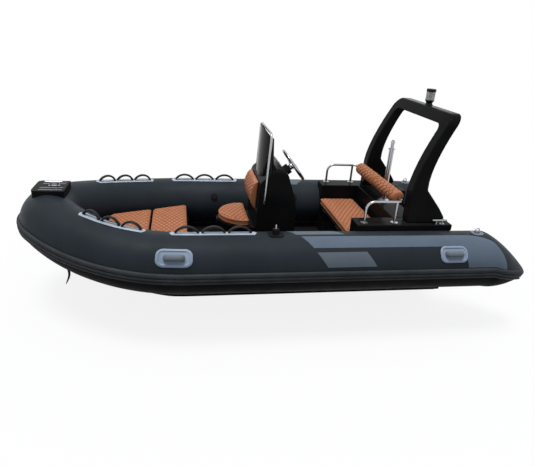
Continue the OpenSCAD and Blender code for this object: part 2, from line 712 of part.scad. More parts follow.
// The lever stands outboard of its box, clear of the wheel
throttle_y = -225;
throttle_box = [90, 60, 45];
lever_z = 25;
lever_len = 150;
lever_lean = 25;
lever_d = 14;
lever_boss = [40, 16];
knob_d = 36;
module throttle() {
  color("#1a1a1c") on_dash(throttle_y, throttle_up) {
    translate([-throttle_box[0] / 2, -throttle_box[1] / 2, 0]) cube(throttle_box);
    translate([0, -throttle_box[1] / 2, lever_z]) {
      rotate([90, 0, 0]) cylinder(h = lever_boss[1], d = lever_boss[0]);
      translate([0, -lever_boss[1] / 2, 0]) rotate([0, lever_lean, 0]) {
        cylinder(h = lever_len, d = lever_d);
        translate([0, 0, lever_len]) sphere(d = knob_d);
      }
    }
  }
}

// Stern bench
bench_back_x = bench_x - bench_depth;
bench_lid_z = bench_z - lid_t;
bench_hinge = [bench_x + hinge_r + hinge_slack, 0, bench_lid_z + hinge_r + fit];
bench_knuckle_y = bench_half / 2;
bench_overhang = 20;
module bench_base() {
  color("#141416") {
    difference() {
      translate([stern_deck_x, -bench_half, sole_z])
        cube([bench_x - bench_overhang - stern_deck_x, 2 * bench_half, bench_lid_z - fit - sole_z]);
      translate([bench_back_x + wall_t, -bench_half + wall_t, sole_z - 1])
        cube([bench_depth - bench_overhang - 2 * wall_t, 2 * (bench_half - wall_t), bench_lid_z - sole_z + 2]);
    }
    for (side = [-1, 1])
      front_bracket(bench_hinge, side * bench_knuckle_y, bench_x - bench_overhang - 1, bench_lid_z - fit);
  }
}

module bench_lid() {
  color("#141416") {
    translate([bench_back_x, -bench_half + lid_gap, bench_lid_z])
      cube([bench_depth, 2 * (bench_half - lid_gap), lid_t]);
    for (side = [-1, 1]) front_knuckle(bench_hinge, side * bench_knuckle_y);
  }
}

module bench_cushion() {
  color("#a5653f") translate([bench_back_x + 2, -bench_half + lid_gap, bench_z])
    cube([bench_depth - 2, 2 * (bench_half - lid_gap), cushion_t]);
}

latch_y = [-300, 300];
latch_z = 330;
latch_plate = [5, 34, 90];
latch_knob = [14, 16, 30];
latch_knob_z = 52;
module bench_latches() {
  color("silver") for (y = latch_y) translate([bench_x - bench_overhang, y, latch_z]) {
    translate([0, -latch_plate[1] / 2, 0]) cube(latch_plate);
    translate([latch_plate[0], -latch_knob[1] / 2, latch_knob_z]) cube(latch_knob);
  }
}

// Side decks and stern deck
side_deck_gap = 10;
side_deck_root_in = 230;
side_deck_in = bench_half + side_deck_gap;
side_deck_root = tube_half_span - side_deck_root_in;
module side_deck() {
  translate([stern_deck_end_x, 0, 0]) rotate([90, 0, 90]) linear_extrude(side_deck_x - stern_deck_end_x)
    difference() {
      polygon([[side_deck_in, sole_z], [side_deck_in, deck_z], [side_deck_half, deck_z], [side_deck_half, tube_z],
        [side_deck_root, tube_z], [side_deck_root, sole_z]]);
      translate([tube_half_span, tube_z]) circle(tube_r + fit);
    }
}
module side_deck_port() {
  color("#121214") side_deck();
}
module side_deck_starboard() {
  color("#121214") mirror([0, 1, 0]) side_deck();
}

well_floor_z = 340;
module stern_deck() {
  color("#121214") difference() {
    translate([stern_deck_end_x, -side_deck_in, sole_z])
      cube([stern_deck_x - stern_deck_end_x, 2 * side_deck_in, deck_z - sole_z]);
    translate([stern_deck_end_x - 1, -transom_cut_half, well_floor_z])
      cube([well_x - stern_deck_end_x + 1, 2 * transom_cut_half, deck_z]);
  }
}

// Seat rail with its bolsters
rail_set_in = 60;
rail_y = side_deck_half - rail_set_in;
rail_front_x = -786;
rail_aft_x = -1142;
rail_post_x = -1086;
rail_z = deck_z + rail_h;
rail_bend = 80;
rail_corner = 60;
rail_flange_d = 70;
rail_flange_t = 6;
module backrest_rail() {
  color("silver") {
    mirrored_pair() {
      for (x = [rail_front_x, rail_post_x]) translate([x, rail_y, deck_z])
        cylinder(h = rail_flange_t, d = rail_flange_d);
      translate([rail_front_x, rail_y, deck_z]) cylinder(h = rail_h - rail_bend, d = rail_d);
      translate([rail_front_x - rail_bend, rail_y, rail_z - rail_bend]) rotate([90, 0, 0]) rotate_extrude(angle = 90)
        translate([rail_bend, 0]) circle(d = rail_d);
      bar([rail_front_x - rail_bend, rail_y, rail_z], [rail_aft_x + rail_corner, rail_y, rail_z], rail_d);
      translate([rail_post_x, rail_y, deck_z]) cylinder(h = rail_h, d = rail_d);
      translate([rail_aft_x + rail_corner, rail_y - rail_corner, rail_z]) rotate([0, 0, 90]) rotate_extrude(angle = 90)
        translate([rail_corner, 0]) circle(d = rail_d);
    }
    bar([rail_aft_x, -rail_y + rail_corner, rail_z], [rail_aft_x, rail_y - rail_corner, rail_z], rail_d);
  }
}
bolster_gap = 26;
bolster_len = rail_y - rail_corner - bolster_end_gap - bolster_gap / 2;
module bolsters() {
  color("#a5653f") mirrored_pair() translate([rail_aft_x, bolster_gap / 2, rail_z]) rotate([-90, 0, 0]) difference() {
    cylinder(h = bolster_len, d = bolster_d);
    translate([0, 0, -1]) cylinder(h = bolster_len + 2, d = rail_d + 2 * fit);
  }
}

// Light arch: its side outline and its front outline are crossed
arch_foot_x = [-1213, -1375];
arch_head_x = [-1500, -1605];
arch_knee_z = [1080, 1200];
arch_fin = [[-1375, 1120], [-1525, 945], [-1590, 855], [-1580, 830], [-1530, 800]];
arch_power = 1.5;
arch_steps = 8;
function arch_edge(side, z) = let (up = max(0, z - arch_knee_z[side]) / (arch_top_z - arch_knee_z[side]))
  arch_foot_x[side] + (arch_head_x[side] - arch_foot_x[side]) * pow(up, arch_power);
function arch_curve(side) = [for (i = [0 : arch_steps])
  let (z = arch_knee_z[side] + (arch_top_z - arch_knee_z[side]) * i / arch_steps) [arch_edge(side, z), z]];
arch_outer_r = 110;
arch_inner_r = 70;
arch_taper = 45;
module arch_front(half, top, r) {
  polygon([[-half, deck_z], [half, deck_z], [half - arch_taper, top - r], [-half + arch_taper, top - r]]);
  translate([-half + arch_taper + r, top - 2 * r]) square([2 * (half - arch_taper - r), 2 * r]);
  for (side = [-1, 1]) translate([side * (half - arch_taper - r), top - r]) circle(r);
}
module arch() {
  color("#101012") intersection() {
    rotate([90, 0, 0]) translate([0, 0, -arch_half - 1]) linear_extrude(2 * arch_half + 2)
      polygon(concat([[arch_foot_x[0], deck_z]], arch_curve(0), reversed(arch_curve(1)),
        [for (p = arch_fin) [p[0], max(deck_z, p[1])]]));
    translate([arch_head_x[1] - 1, 0, 0]) rotate([90, 0, 90]) linear_extrude(arch_foot_x[0] - arch_head_x[1] + 2)
      difference() {
        arch_front(arch_half, arch_top_z, arch_outer_r);
        translate([0, -0.01]) arch_front(arch_half - arch_leg_w, arch_top_z - arch_bar_h, arch_inner_r);
      }
  }
}

nav_x = (arch_head_x[0] + arch_head_x[1]) / 2;
nav_d = 92;
nav_foot_d = 80;
nav_waist_d = 60;
nav_stem_d = 30;
// Heights of the waist, of the lens's foot, of the cap and of its top above the arch
nav_z = [18, 48, 128, 154];
nav_lens_inset = 4;
nav_lens_t = 5;
module nav_light() {
  color("#161616") translate([nav_x, 0, arch_top_z]) {
    cylinder(h = nav_z[0], d1 = nav_foot_d, d2 = nav_waist_d);
    translate([0, 0, nav_z[0]]) cylinder(h = nav_z[1] - nav_z[0], d1 = nav_waist_d, d2 = nav_d);
    translate([0, 0, nav_z[1]]) cylinder(h = nav_z[2] - nav_z[1] + 1, d = nav_stem_d);
    translate([0, 0, nav_z[2]]) cylinder(h = nav_z[3] - nav_z[2], d = nav_d);
  }
}
module nav_lens() {
  h = nav_z[2] - nav_z[1];
  d = nav_d - nav_lens_inset;
  color("#cfd6da", 0.5) translate([nav_x, 0, arch_top_z + nav_z[1] + fit]) difference() {
    cylinder(h = h - 2 * fit, d = d);
    translate([0, 0, -1]) cylinder(h = h + 2, d = d - 2 * nav_lens_t);
  }
}

tow_post_x = -1240;
tow_flange = [120, 8];
tow_collar = [70, 8];
// Depths of the collar's foot, of the neck and of the head below the post's top
tow_head = [95, 90, 28];
module tow_post() {
  color("silver") translate([tow_post_x, 0, deck_z]) {
    cylinder(h = tow_flange[1], d = tow_flange[0]);
    cylinder(h = tow_post_h - tow_head[1], d = tow_post_d);
    translate([0, 0, tow_post_h - tow_head[0]]) cylinder(h = tow_collar[1], d = tow_collar[0]);
    translate([0, 0, tow_post_h - tow_head[1]]) cylinder(h = tow_head[1] - tow_head[2], d = 0.7 * tow_post_d);
    translate([0, 0, tow_post_h - tow_head[2]]) cylinder(h = tow_head[2], d1 = tow_post_d, d2 = 0.5 * tow_post_d);
  }
}

// Fittings on the tubes
// Groups of grab loops along the tube: [distance of the first from the start of the bow curve, pitch, count]
loop_groups = [[-410, 228, 3], [525, 197, 3]];
loop_phi = 95;
loop_share = 0.86;
loop_rise = 62;
pad_w = 84;
loop_pad_t = 3;
function loop_places() = [for (g = loop_groups, i = [0 : g[2] - 1]) [g[0] + g[1] * i, g[1]]];
function pad_stations(g) = let (
  s0 = g[0] - 0.66 * g[1],
  s1 = g[0] + (g[2] - 1 + 0.66) * g[1],
  step = bow_sweep_r * PI / 180 * bow_turn / sweep_steps,
  kept = [for (i = [0 : sweep_steps]) if (step * i > s0 + 5 && step * i < s1 - 5) step * i])
  concat([s0], kept, [s1]);
module handle_pads() {
  color("#9aa3ab") mirrored_pair() for (g = loop_groups)
    tube_patch([for (s = pad_stations(g)) [path_at(s), degrees_on_tube(pad_w / 2)]], loop_phi, loop_pad_t);
}
module grab_loops() {
  color("#17181a") mirrored_pair() for (p = loop_places()) {
    half = p[1] * loop_share / 2;
    r = (half * half + loop_rise * loop_rise) / (2 * loop_rise);
    spread = asin(half / r);
    st = path_at(p[0]);
    // The foot is an oblique cut, and the sheer bends up under it
    foot = loop_bar_d / 2 * cos(spread) + sheer_bend(st[0]) * half * half + 2 * fit;
    seat_on_tube(st, loop_phi) translate([0, 0, loop_pad_t + foot + loop_rise - r])
      rotate([90, 0, 0]) rotate([0, 0, 90 - spread]) rotate_extrude(angle = 2 * spread)
        translate([r, 0]) circle(d = loop_bar_d);
  }
}

// Carrying handles on the outer side: distance along the tube
carry_places = [133, -2340];
carry_phi = 35;
carry_t = 8;
grip_d = 30;
grip_len = 175;
grip_rise = 38;
grip_foot_in = 14;
module carry_handles() {
  color("#8b95a0") mirrored_pair() for (s = carry_places) {
    tube_patch(round_rows(s, carry_len, carry_h), carry_phi, carry_t);
    seat_on_tube(path_at(s), carry_phi) {
      translate([-grip_len / 2, 0, carry_t + grip_rise]) rotate([0, 90, 0]) cylinder(h = grip_len, d = grip_d);
      for (x = [-1, 1] * (grip_len / 2 - grip_foot_in)) translate([x, 0, carry_t / 2])
        cylinder(h = grip_rise + carry_t / 2, d = grip_d);
    }
  }
}

oar_place = -723;
oar_boss_d = 62;
oar_boss_h = 46;
oar_plate = [140, 120, 8];
module oarlocks() {
  color("#1a1b1d") mirrored_pair() {
    tube_patch(round_rows(oar_place, oar_plate[0], oar_plate[1]), 90, oar_plate[2]);
    translate([bow_start_x + oar_place, tube_half_span, tube_z + tube_r + oar_plate[2] / 2]) {
      cylinder(h = oar_boss_h, d = oar_boss_d);
      cylinder(h = oar_boss_h + oar_pin_len, d = oar_pin_d);
    }
  }
}

patch_place = -2675;
stern_patch = [120, 110, 5];
ring_foot = [44, 40, 12];
ring_r = 20;
ring_bar_r = 5;
module stern_patches() {
  color("#8b95a0") mirrored_pair() {
    tube_patch(round_rows(patch_place, stern_patch[0], stern_patch[1]), 90, stern_patch[2]);
    translate([bow_start_x + patch_place, tube_half_span, tube_z + tube_r + stern_patch[2]]) {
      translate([-ring_foot[0] / 2, -ring_foot[1] / 2, 0]) cube(ring_foot);
      translate([0, 0, ring_foot[2] + 2 * ring_bar_r]) rotate([90, 0, 0]) rotate_extrude()
        translate([ring_r, 0]) circle(ring_bar_r);
    }
  }
}

// Outboard of the arch's legs
stern_cleat_in = 24;
stern_cleat = [-1530, side_deck_half - stern_cleat_in, deck_z];
module stern_cleats() {
  color("silver") mirrored_pair() translate(stern_cleat) cleat();
}

valve_places = [-280, -1200];
valve_phi = 150;
valve_flange = [78, 10];
valve_cap = [54, 12];
module valves() {
  color("#0f0f10") mirrored_pair() for (s = valve_places) seat_on_tube(path_at(s), valve_phi) {
    cylinder(h = valve_flange[1], d = valve_flange[0]);
    translate([0, 0, valve_flange[1]]) cylinder(h = valve_cap[1], d = valve_cap[0]);
  }
}

hull();
cockpit_sole();
transom();
tube_port();
tube_starboard();
rub_strake();
bow_step();
bow_cleat();
bow_eye();
bow_strap();
bow_locker();
bow_lid();
bow_cushion_fwd();
bow_cushion_aft();
seat_base();
seat_lid();
seat_cushion();
console();
backrest_pad();
windscreen();
windscreen_rail();
helm();
steering_wheel();
throttle();
dash_gauges();
bench_base();
bench_lid();
bench_cushion();
bench_latches();
side_deck_port();
side_deck_starboard();
stern_deck();
backrest_rail();
bolsters();
arch();
nav_light();
nav_lens();
tow_post();
handle_pads();
grab_loops();
carry_handles();
oarlocks();
stern_patches();
stern_cleats();
valves();
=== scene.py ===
# %% [markdown]
# # A rigid inflatable boat
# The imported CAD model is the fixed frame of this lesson. All pieces are made in metres in that frame, with the bow
# towards +X, port towards +Y and the waterline at Z = 0. Hard parts whose CAD shape is right keep it and get a
# finish. Smooth, soft and fine parts are made again here, and each stands for its CAD node.

# %% Load the frame
from collections import namedtuple
from math import asin, atan2, copysign, cos, pi, radians, sin, tau

import bmesh
import bpy
import numpy as np
from mathutils import Matrix, Vector


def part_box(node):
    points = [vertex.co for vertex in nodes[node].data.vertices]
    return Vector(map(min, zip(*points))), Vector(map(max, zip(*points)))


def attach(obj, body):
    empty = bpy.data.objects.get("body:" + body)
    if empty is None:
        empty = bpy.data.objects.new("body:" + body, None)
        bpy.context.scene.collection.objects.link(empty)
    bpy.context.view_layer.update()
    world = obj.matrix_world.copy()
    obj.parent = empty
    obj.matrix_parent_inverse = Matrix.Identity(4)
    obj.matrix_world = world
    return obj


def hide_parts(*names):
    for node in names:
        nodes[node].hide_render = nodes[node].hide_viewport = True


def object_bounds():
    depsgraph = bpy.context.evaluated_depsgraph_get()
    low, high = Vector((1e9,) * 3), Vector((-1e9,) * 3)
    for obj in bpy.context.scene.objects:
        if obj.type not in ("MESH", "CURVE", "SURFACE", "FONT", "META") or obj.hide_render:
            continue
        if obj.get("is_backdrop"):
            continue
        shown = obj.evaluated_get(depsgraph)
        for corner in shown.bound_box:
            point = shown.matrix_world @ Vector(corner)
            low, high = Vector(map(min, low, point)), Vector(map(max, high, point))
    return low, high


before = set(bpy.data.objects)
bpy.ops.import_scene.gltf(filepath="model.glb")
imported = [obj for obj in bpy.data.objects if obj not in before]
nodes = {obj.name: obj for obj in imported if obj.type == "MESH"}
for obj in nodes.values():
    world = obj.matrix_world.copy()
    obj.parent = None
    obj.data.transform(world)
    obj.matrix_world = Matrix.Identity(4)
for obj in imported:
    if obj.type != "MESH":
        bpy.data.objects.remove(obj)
scene = bpy.context.scene
cad_low, cad_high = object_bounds()
print("frame:", len(nodes), "nodes, size", [round(x, 3) for x in cad_high - cad_low])

# %% [markdown]
# ## The view
# The photograph looks down on the port side from a little forward of amidships. The camera was found from the boat's
# own mirror pairs of points, so it is given as a place and two directions, not as a guess to be nudged.

# %% Camera
LOOK = Vector((-0.181, -0.902, -0.393)).normalized()
HEAD_UP = Vector((-0.006, -0.399, 0.917))
EYE, FOCAL, SENSOR_W = (0.915, 4.539, 2.40), 32.02, 36


def show(name, data):
    """A new object in the scene, at the origin."""
    obj = bpy.data.objects.new(name, data)
    scene.collection.objects.link(obj)
    return obj


lens = bpy.data.cameras.new("quay_camera")
lens.sensor_fit = "HORIZONTAL"
lens.sensor_width = SENSOR_W
lens.lens = FOCAL
camera = show("quay_camera", lens)
to_right = HEAD_UP.cross(-LOOK).normalized()
axes = Matrix((to_right, (-LOOK).cross(to_right), -LOOK)).transposed()
camera.matrix_world = Matrix.Translation(EYE) @ axes.to_4x4()
scene.camera = camera
print("camera at", EYE)

# %% [markdown]
# ## Light and background
# Soft light falls from above: a sky that is darker towards the horizon, and one wide lamp nearly overhead. The sky is
# white only for rays that come from the camera, from metal and from clear parts, so the background is white without
# more light on the boat.


# %% Node helpers
def wire(tree, node, wires):
    """Set a node's inputs, or wire them to other nodes."""
    for socket, value in wires.items():
        if isinstance(value, bpy.types.NodeSocket):
            tree.links.new(value, node.inputs[socket])
        else:
            node.inputs[socket].default_value = value


def add(tree, kind, wires=None, **settings):
    """A shader node with its settings, and its inputs set or wired."""
    node = tree.nodes.new(kind)
    for name, value in settings.items():
        setattr(node, name, value)
    wire(tree, node, wires or {})
    return node


def reckon(tree, how, a, b):
    return add(tree, "ShaderNodeMath", {0: a, 1: b}, operation=how).outputs[0]


def span(tree, value, low, high, start=0, end=1):
    """Stretch a value that runs from start to end, so that it runs from low to high."""
    wires = {"Value": value, "From Min": start, "From Max": end, "To Min": low, "To Max": high}
    return add(tree, "ShaderNodeMapRange", wires).outputs[0]


def seen_rays(tree):
    """1 for rays from the camera, from gloss and through clear parts."""
    path = add(tree, "ShaderNodeLightPath").outputs
    either = reckon(tree, "MAXIMUM", path["Is Camera Ray"], path["Is Glossy Ray"])
    return reckon(tree, "MAXIMUM", either, path["Is Transmission Ray"])

# %% Sky and lamp
WHITE, SKY_TINT, SKY_LOW, SKY_HIGH = (1, 1, 1, 1), (0.93, 0.97, 1, 1), 0.08, 0.72
KEY_ENERGY, KEY_SPREAD, KEY_FROM = 2.0, radians(24), Vector((0.16, 0.10, 1.0))
sky = bpy.data.worlds.new("studio_sky")
sky.use_nodes = True
scene.world = sky
tree = sky.node_tree
tree.nodes.clear()
way = add(tree, "ShaderNodeSeparateXYZ", {0: add(tree, "ShaderNodeTexCoord").outputs["Generated"]})
height = span(tree, way.outputs["Z"], SKY_LOW, SKY_HIGH)
dim = add(tree, "ShaderNodeBackground", {"Color": SKY_TINT, "Strength": height})
white = add(tree, "ShaderNodeBackground", {"Color": WHITE, "Strength": 1})
both = add(tree, "ShaderNodeMixShader", {0: seen_rays(tree), 1: dim.outputs[0], 2: white.outputs[0]})
add(tree, "ShaderNodeOutputWorld", {"Surface": both.outputs[0]})

key = bpy.data.lights.new("key_lamp", "SUN")
key.energy = KEY_ENERGY
key.angle = KEY_SPREAD
show("key_lamp", key).rotation_euler = KEY_FROM.to_track_quat("Z", "Y").to_euler()
scene.view_settings.view_transform = "Standard"
print("key lamp", key.energy, "sky", SKY_LOW, "to", SKY_HIGH)

# %% [markdown]
# ## Floor
# The boat stands on its keel on a pale studio floor. The floor is white paper that turns into the white background
# away from the boat, and it keeps the boat's shadow.

# %% Floor
FLOOR_Z, FLOOR_HALF = cad_low.z - 0.001, 30
GLOW_NEAR, FADE_NEAR, FADE_FAR = 0.86, 2.2, 7
PAPER_DARK, PAPER_LIGHT, PAPER_BOUNCE = 0.86, 0.9, 0.22


def link(name, bm):
    """A new object from a bmesh."""
    mesh = bpy.data.meshes.new(name)
    bm.to_mesh(mesh)
    bm.free()
    return show(name, mesh)


bm = bmesh.new()
bmesh.ops.create_grid(bm, x_segments=8, y_segments=8, size=FLOOR_HALF)
bmesh.ops.translate(bm, verts=bm.verts, vec=(0, 0, FLOOR_Z))
floor_sheet = link("studio_floor", bm)
paper = bpy.data.materials.new("floor_paper")
paper.use_nodes = True
tree = paper.node_tree
tree.nodes.clear()
place = add(tree, "ShaderNodeTexCoord").outputs["Object"]
far = add(tree, "ShaderNodeVectorMath", {0: place}, operation="LENGTH").outputs["Value"]
fade = span(tree, far, GLOW_NEAR, 1, FADE_NEAR, FADE_FAR)
grain = add(tree, "ShaderNodeTexNoise", {"Vector": place, "Scale": 60, "Detail": 3}).outputs["Fac"]
seen = seen_rays(tree)
# Light that bounces off the paper is held back, so that the boat's underside stays dark
shade = span(tree, seen, PAPER_BOUNCE, span(tree, grain, PAPER_DARK, PAPER_LIGHT))
matt = add(tree, "ShaderNodeBsdfDiffuse", {"Color": shade})
glow = add(tree, "ShaderNodeEmission", {"Color": WHITE, "Strength": 1})
share = reckon(tree, "MULTIPLY", fade, seen)
blend = add(tree, "ShaderNodeMixShader", {0: share, 1: matt.outputs[0], 2: glow.outputs[0]})
add(tree, "ShaderNodeOutputMaterial", {"Surface": blend.outputs[0]})
floor_sheet.data.materials.append(paper)
floor_sheet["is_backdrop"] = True
print("floor at", round(FLOOR_Z, 3))

# %% [markdown]
# ## Finishes
# Every finish is built from the same few parts: a mottled colour, a grain that roughens and bumps the surface, and
# the shader's own constant sockets. Tube fabric is a matt coated cloth with painted shade on the tubes' undersides,
# the mouldings are black gelcoat, and the cushions are tan leatherette whose sewn grooves are darkened with painted
# shade.


# %% Finish helpers
finishes = {}


def start(name):
    """A new material, kept under its name; gives back its node tree."""
    finishes[name] = bpy.data.materials.new(name)
    finishes[name].use_nodes = True
    return finishes[name].node_tree


def complete(tree, colour, rough, relief, depth, same):
    """Wire what varies to the shader, with the relief as a bump, and set what is the same all over."""
    bump = add(tree, "ShaderNodeBump", {"Height": relief, "Strength": 1.0, "Distance": depth})
    varies = {"Base Color": colour, "Roughness": rough, "Normal": bump.outputs[0]}
    wire(tree, tree.nodes["Principled BSDF"], {**varies, **same})


def clouds(tree, scale, detail=6.0, stretch=(1, 1, 1)):
    """Soft noise in the piece's own coordinates."""
    place = add(tree, "ShaderNodeTexCoord").outputs["Object"]
    drawn = add(tree, "ShaderNodeMapping", {"Vector": place, "Scale": stretch}).outputs[0]
    return add(tree, "ShaderNodeTexNoise", {"Vector": drawn, "Scale": scale, "Detail": detail}).outputs["Fac"]


def cells(tree, scale):
    """Rounded cells, like leather or pebbled rubber."""
    place = add(tree, "ShaderNodeTexCoord").outputs["Object"]
    return add(tree, "ShaderNodeTexVoronoi", {"Vector": place, "Scale": scale},
               feature="DISTANCE_TO_EDGE").outputs["Distance"]


def mottle(tree, dark, light, scale):
    """Colour that wanders between two tones."""
    ramp = add(tree, "ShaderNodeValToRGB", {"Fac": clouds(tree, scale, 4.0)})
    for stop, position, tone in zip(ramp.color_ramp.elements, (0.3, 0.7), (dark, light)):
        stop.position = position
        stop.color = (*tone, 1)
    return ramp.outputs["Color"]


def roughen(tree, scale, low, high, stretch=(1, 1, 1)):
    """Roughness that wanders between two values."""
    return span(tree, clouds(tree, scale, 5, stretch), low, high, 0.25, 0.75)


def shaded(tone, share):
    return tuple(share * c for c in tone)


print("grains: clouds, cells")

# %% Coated cloth of the tubes, panels and pads
# Dark and light tone, roughness from and to, scale and depth of the grain, gloss
CLOTHS = {
    "tube_coat": ((0.016, 0.0215, 0.0278), (0.022, 0.029, 0.0365), 0.42, 0.56, 420, 0.0004, 0.1),
    # Painted shade: the near-black cloth on the tube's underside
    "belly_painted_shade": ((0.007, 0.007, 0.008), (0.011, 0.011, 0.012), 0.46, 0.60, 420, 0.0004, 0.015),
    "band_coat": ((0.100, 0.132, 0.176), (0.124, 0.162, 0.214), 0.40, 0.54, 420, 0.0004, 0.12),
    "wing_coat": ((0.105, 0.130, 0.158), (0.130, 0.160, 0.192), 0.42, 0.56, 420, 0.0004, 0.12),
    "pad_coat": ((0.40, 0.46, 0.54), (0.52, 0.59, 0.68), 0.40, 0.55, 420, 0.0004, 0.15),
    "grip_coat": ((0.245, 0.31, 0.42), (0.33, 0.405, 0.54), 0.34, 0.48, 260, 0.0005, 0.3),
    "hold_coat": ((0.150, 0.172, 0.205), (0.195, 0.222, 0.262), 0.40, 0.54, 260, 0.0005, 0.2),
}
for name, (dark, light, low, high, grain, depth, gloss) in CLOTHS.items():
    tree = start(name)
    complete(tree, mottle(tree, dark, light, 2.6), roughen(tree, 9, low, high), cells(tree, grain), depth,
             {"Specular IOR Level": gloss})
print("cloths:", *CLOTHS)

# %% Gelcoat, rubber and plastic
BLACK, BLACK_WORN = (0.008, 0.008, 0.0085), (0.013, 0.013, 0.014)
JET, JET_WORN = (0.006, 0.006, 0.007), (0.011, 0.011, 0.012)
# Dark and light tone, roughness from and to, kind, scale and depth of the grain, coat, gloss
MOULDINGS = {
    "black_gelcoat": (BLACK, BLACK_WORN, 0.14, 0.28, clouds, 22, 0.0006, 0.012, 0.015),
    "hull_gelcoat": (BLACK, BLACK_WORN, 0.22, 0.36, clouds, 18, 0.0008, 0.01, 0.015),
    "sole_gelcoat": (JET, JET_WORN, 0.45, 0.65, cells, 240, 0.0016, 0, 0.1),
    "strake_rubber": ((0.034, 0.037, 0.042), (0.056, 0.061, 0.068), 0.5, 0.68, clouds, 320, 0.0005, 0, 0.1),
    "fitting_rubber": (JET, JET_WORN, 0.42, 0.58, clouds, 300, 0.0005, 0, 0.1),
    "loop_rubber": ((0.012, 0.013, 0.014), (0.020, 0.021, 0.023), 0.42, 0.58, clouds, 300, 0.0005, 0, 0.15),
    "helm_plastic": (JET, (0.010, 0.010, 0.011), 0.36, 0.5, cells, 700, 0.0003, 0, 0.15),
}
for name, (dark, light, low, high, kind, grain, depth, coat, gloss) in MOULDINGS.items():
    tree = start(name)
    complete(tree, mottle(tree, dark, light, 4.5), roughen(tree, 14, low, high), kind(tree, grain), depth,
             {"Specular IOR Level": gloss, "Coat Weight": coat, "Coat Roughness": 0.06})
print("mouldings:", *MOULDINGS)

# %% Leatherette of the cushions
HIDES = {"seat_hide": ((0.450, 0.165, 0.074), (0.535, 0.205, 0.098)),
         "band_hide": ((0.300, 0.110, 0.055), (0.360, 0.135, 0.068))}
# Painted shade: along the sewn grooves the hide darkens towards this share of its dark tone
CREASE_SHADE_SHARE = 0.36
for name, (dark, light) in HIDES.items():
    tree = start(name)
    sewn = add(tree, "ShaderNodeAttribute", attribute_name="sewn").outputs["Fac"]
    tones = {6: mottle(tree, dark, light, 7), 7: (*shaded(dark, CREASE_SHADE_SHARE), 1)}
    hide = add(tree, "ShaderNodeMix", {"Factor": sewn, **tones}, data_type="RGBA").outputs[2]
    complete(tree, hide, roughen(tree, 30, 0.42, 0.58), cells(tree, 380), 0.0005,
             {"Specular IOR Level": 0.15, "Sheen Weight": 0.05})
print("hides:", *HIDES)

# %% Steel, acrylic and lamp glass
RAIL_TONE = (0.44, 0.45, 0.47)
tree = start("rail_steel")
complete(tree, mottle(tree, shaded(RAIL_TONE, 0.9), RAIL_TONE, 5), roughen(tree, 60, 0.12, 0.26, (1, 1, 6)),
         clouds(tree, 140), 0.0001, {"Metallic": 1.0})
# Tone, roughness from and to, share of light let through, gloss, depth of the waves
CLEAR = {"smoked_acrylic": (JET, 0.05, 0.12, 0.22, 0.03, 0.0004),
         "lamp_glass": ((0.72, 0.76, 0.78), 0.08, 0.18, 0.6, 0.4, 0.0001)}
for name, (tone, low, high, through, gloss, waves) in CLEAR.items():
    tree = start(name)
    complete(tree, mottle(tree, shaded(tone, 0.85), tone, 3), roughen(tree, 20, low, high), clouds(tree, 6, 2), waves,
             {"Transmission Weight": through, "Specular IOR Level": gloss, "IOR": 1.49})
print("others: rail_steel", *CLEAR)

# %% Webbing of the strap
# Fine cross ribs follow the strap's own length, from the piece's UV map
WEB_PITCH = 0.01
tree = start("strap_web")
strip = add(tree, "ShaderNodeTexCoord").outputs["UV"]
ribs = add(tree, "ShaderNodeTexWave", {"Vector": strip, "Scale": 1 / WEB_PITCH, "Distortion": 0.6, "Detail": 1.0},
           wave_type="BANDS", bands_direction="Y").outputs["Fac"]
complete(tree, mottle(tree, JET, (0.012, 0.012, 0.013), 40), span(tree, ribs, 0.62, 0.8), ribs, 0.0006,
         {"Specular IOR Level": 0.1})
print("finishes:", len(finishes))

# %% [markdown]
# ## Piece helpers
# A piece leaves its bmesh with smooth faces, sharp edges where its faces meet at a clear angle, its finish, the body
# that it rides on, and the CAD nodes that it stands for.


# %% Finish a piece
def coat(mesh, finish):
    """Smooth faces in one finish."""
    mesh.polygons.foreach_set("use_smooth", [True] * len(mesh.polygons))
    if len(mesh.materials):
        mesh.materials.clear()
    mesh.materials.append(finishes[finish])


def hand_over(obj, finish, body="boat", stands_for=()):
    coat(obj.data, finish)
    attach(obj, body)
    if stands_for:
        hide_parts(*stands_for)
    print(obj.name, len(obj.data.polygons), "faces")
    return obj


def piece(name, bm, finish, body="boat", stands_for=(), sharp=38):
    bmesh.ops.recalc_face_normals(bm, faces=bm.faces)
    obj = link(name, bm)
    obj.data.set_sharp_from_angle(angle=radians(sharp))
    return hand_over(obj, finish, body, stands_for)


# %% Mirror, join and round off
def only(kind, geom):
    """The vertices, edges or faces in an operator's result."""
    return [g for g in geom if isinstance(g, kind)]


def whole(bm):
    return bm.verts[:] + bm.edges[:] + bm.faces[:]


def both_sides(bm, weld=0.0):
    """Add the mirror image in the boat's centre plane."""
    copy = bmesh.ops.duplicate(bm, geom=whole(bm))["geom"]
    bmesh.ops.scale(bm, vec=(1, -1, 1), verts=only(bmesh.types.BMVert, copy))
    bmesh.ops.reverse_faces(bm, faces=only(bmesh.types.BMFace, copy))
    if weld:
        bmesh.ops.remove_doubles(bm, verts=bm.verts, dist=weld)


def add_part(bm, part):
    """Join a part's bmesh to another one."""
    mesh = bpy.data.meshes.new("part")
    part.to_mesh(mesh)
    part.free()
    bm.from_mesh(mesh)
    bpy.data.meshes.remove(mesh)


def round_off(bm, edges, offset, segments):
    bmesh.ops.bevel(bm, geom=edges, offset=offset, offset_type="OFFSET", affect="EDGES", segments=segments,
                    profile=0.5, material=-1)


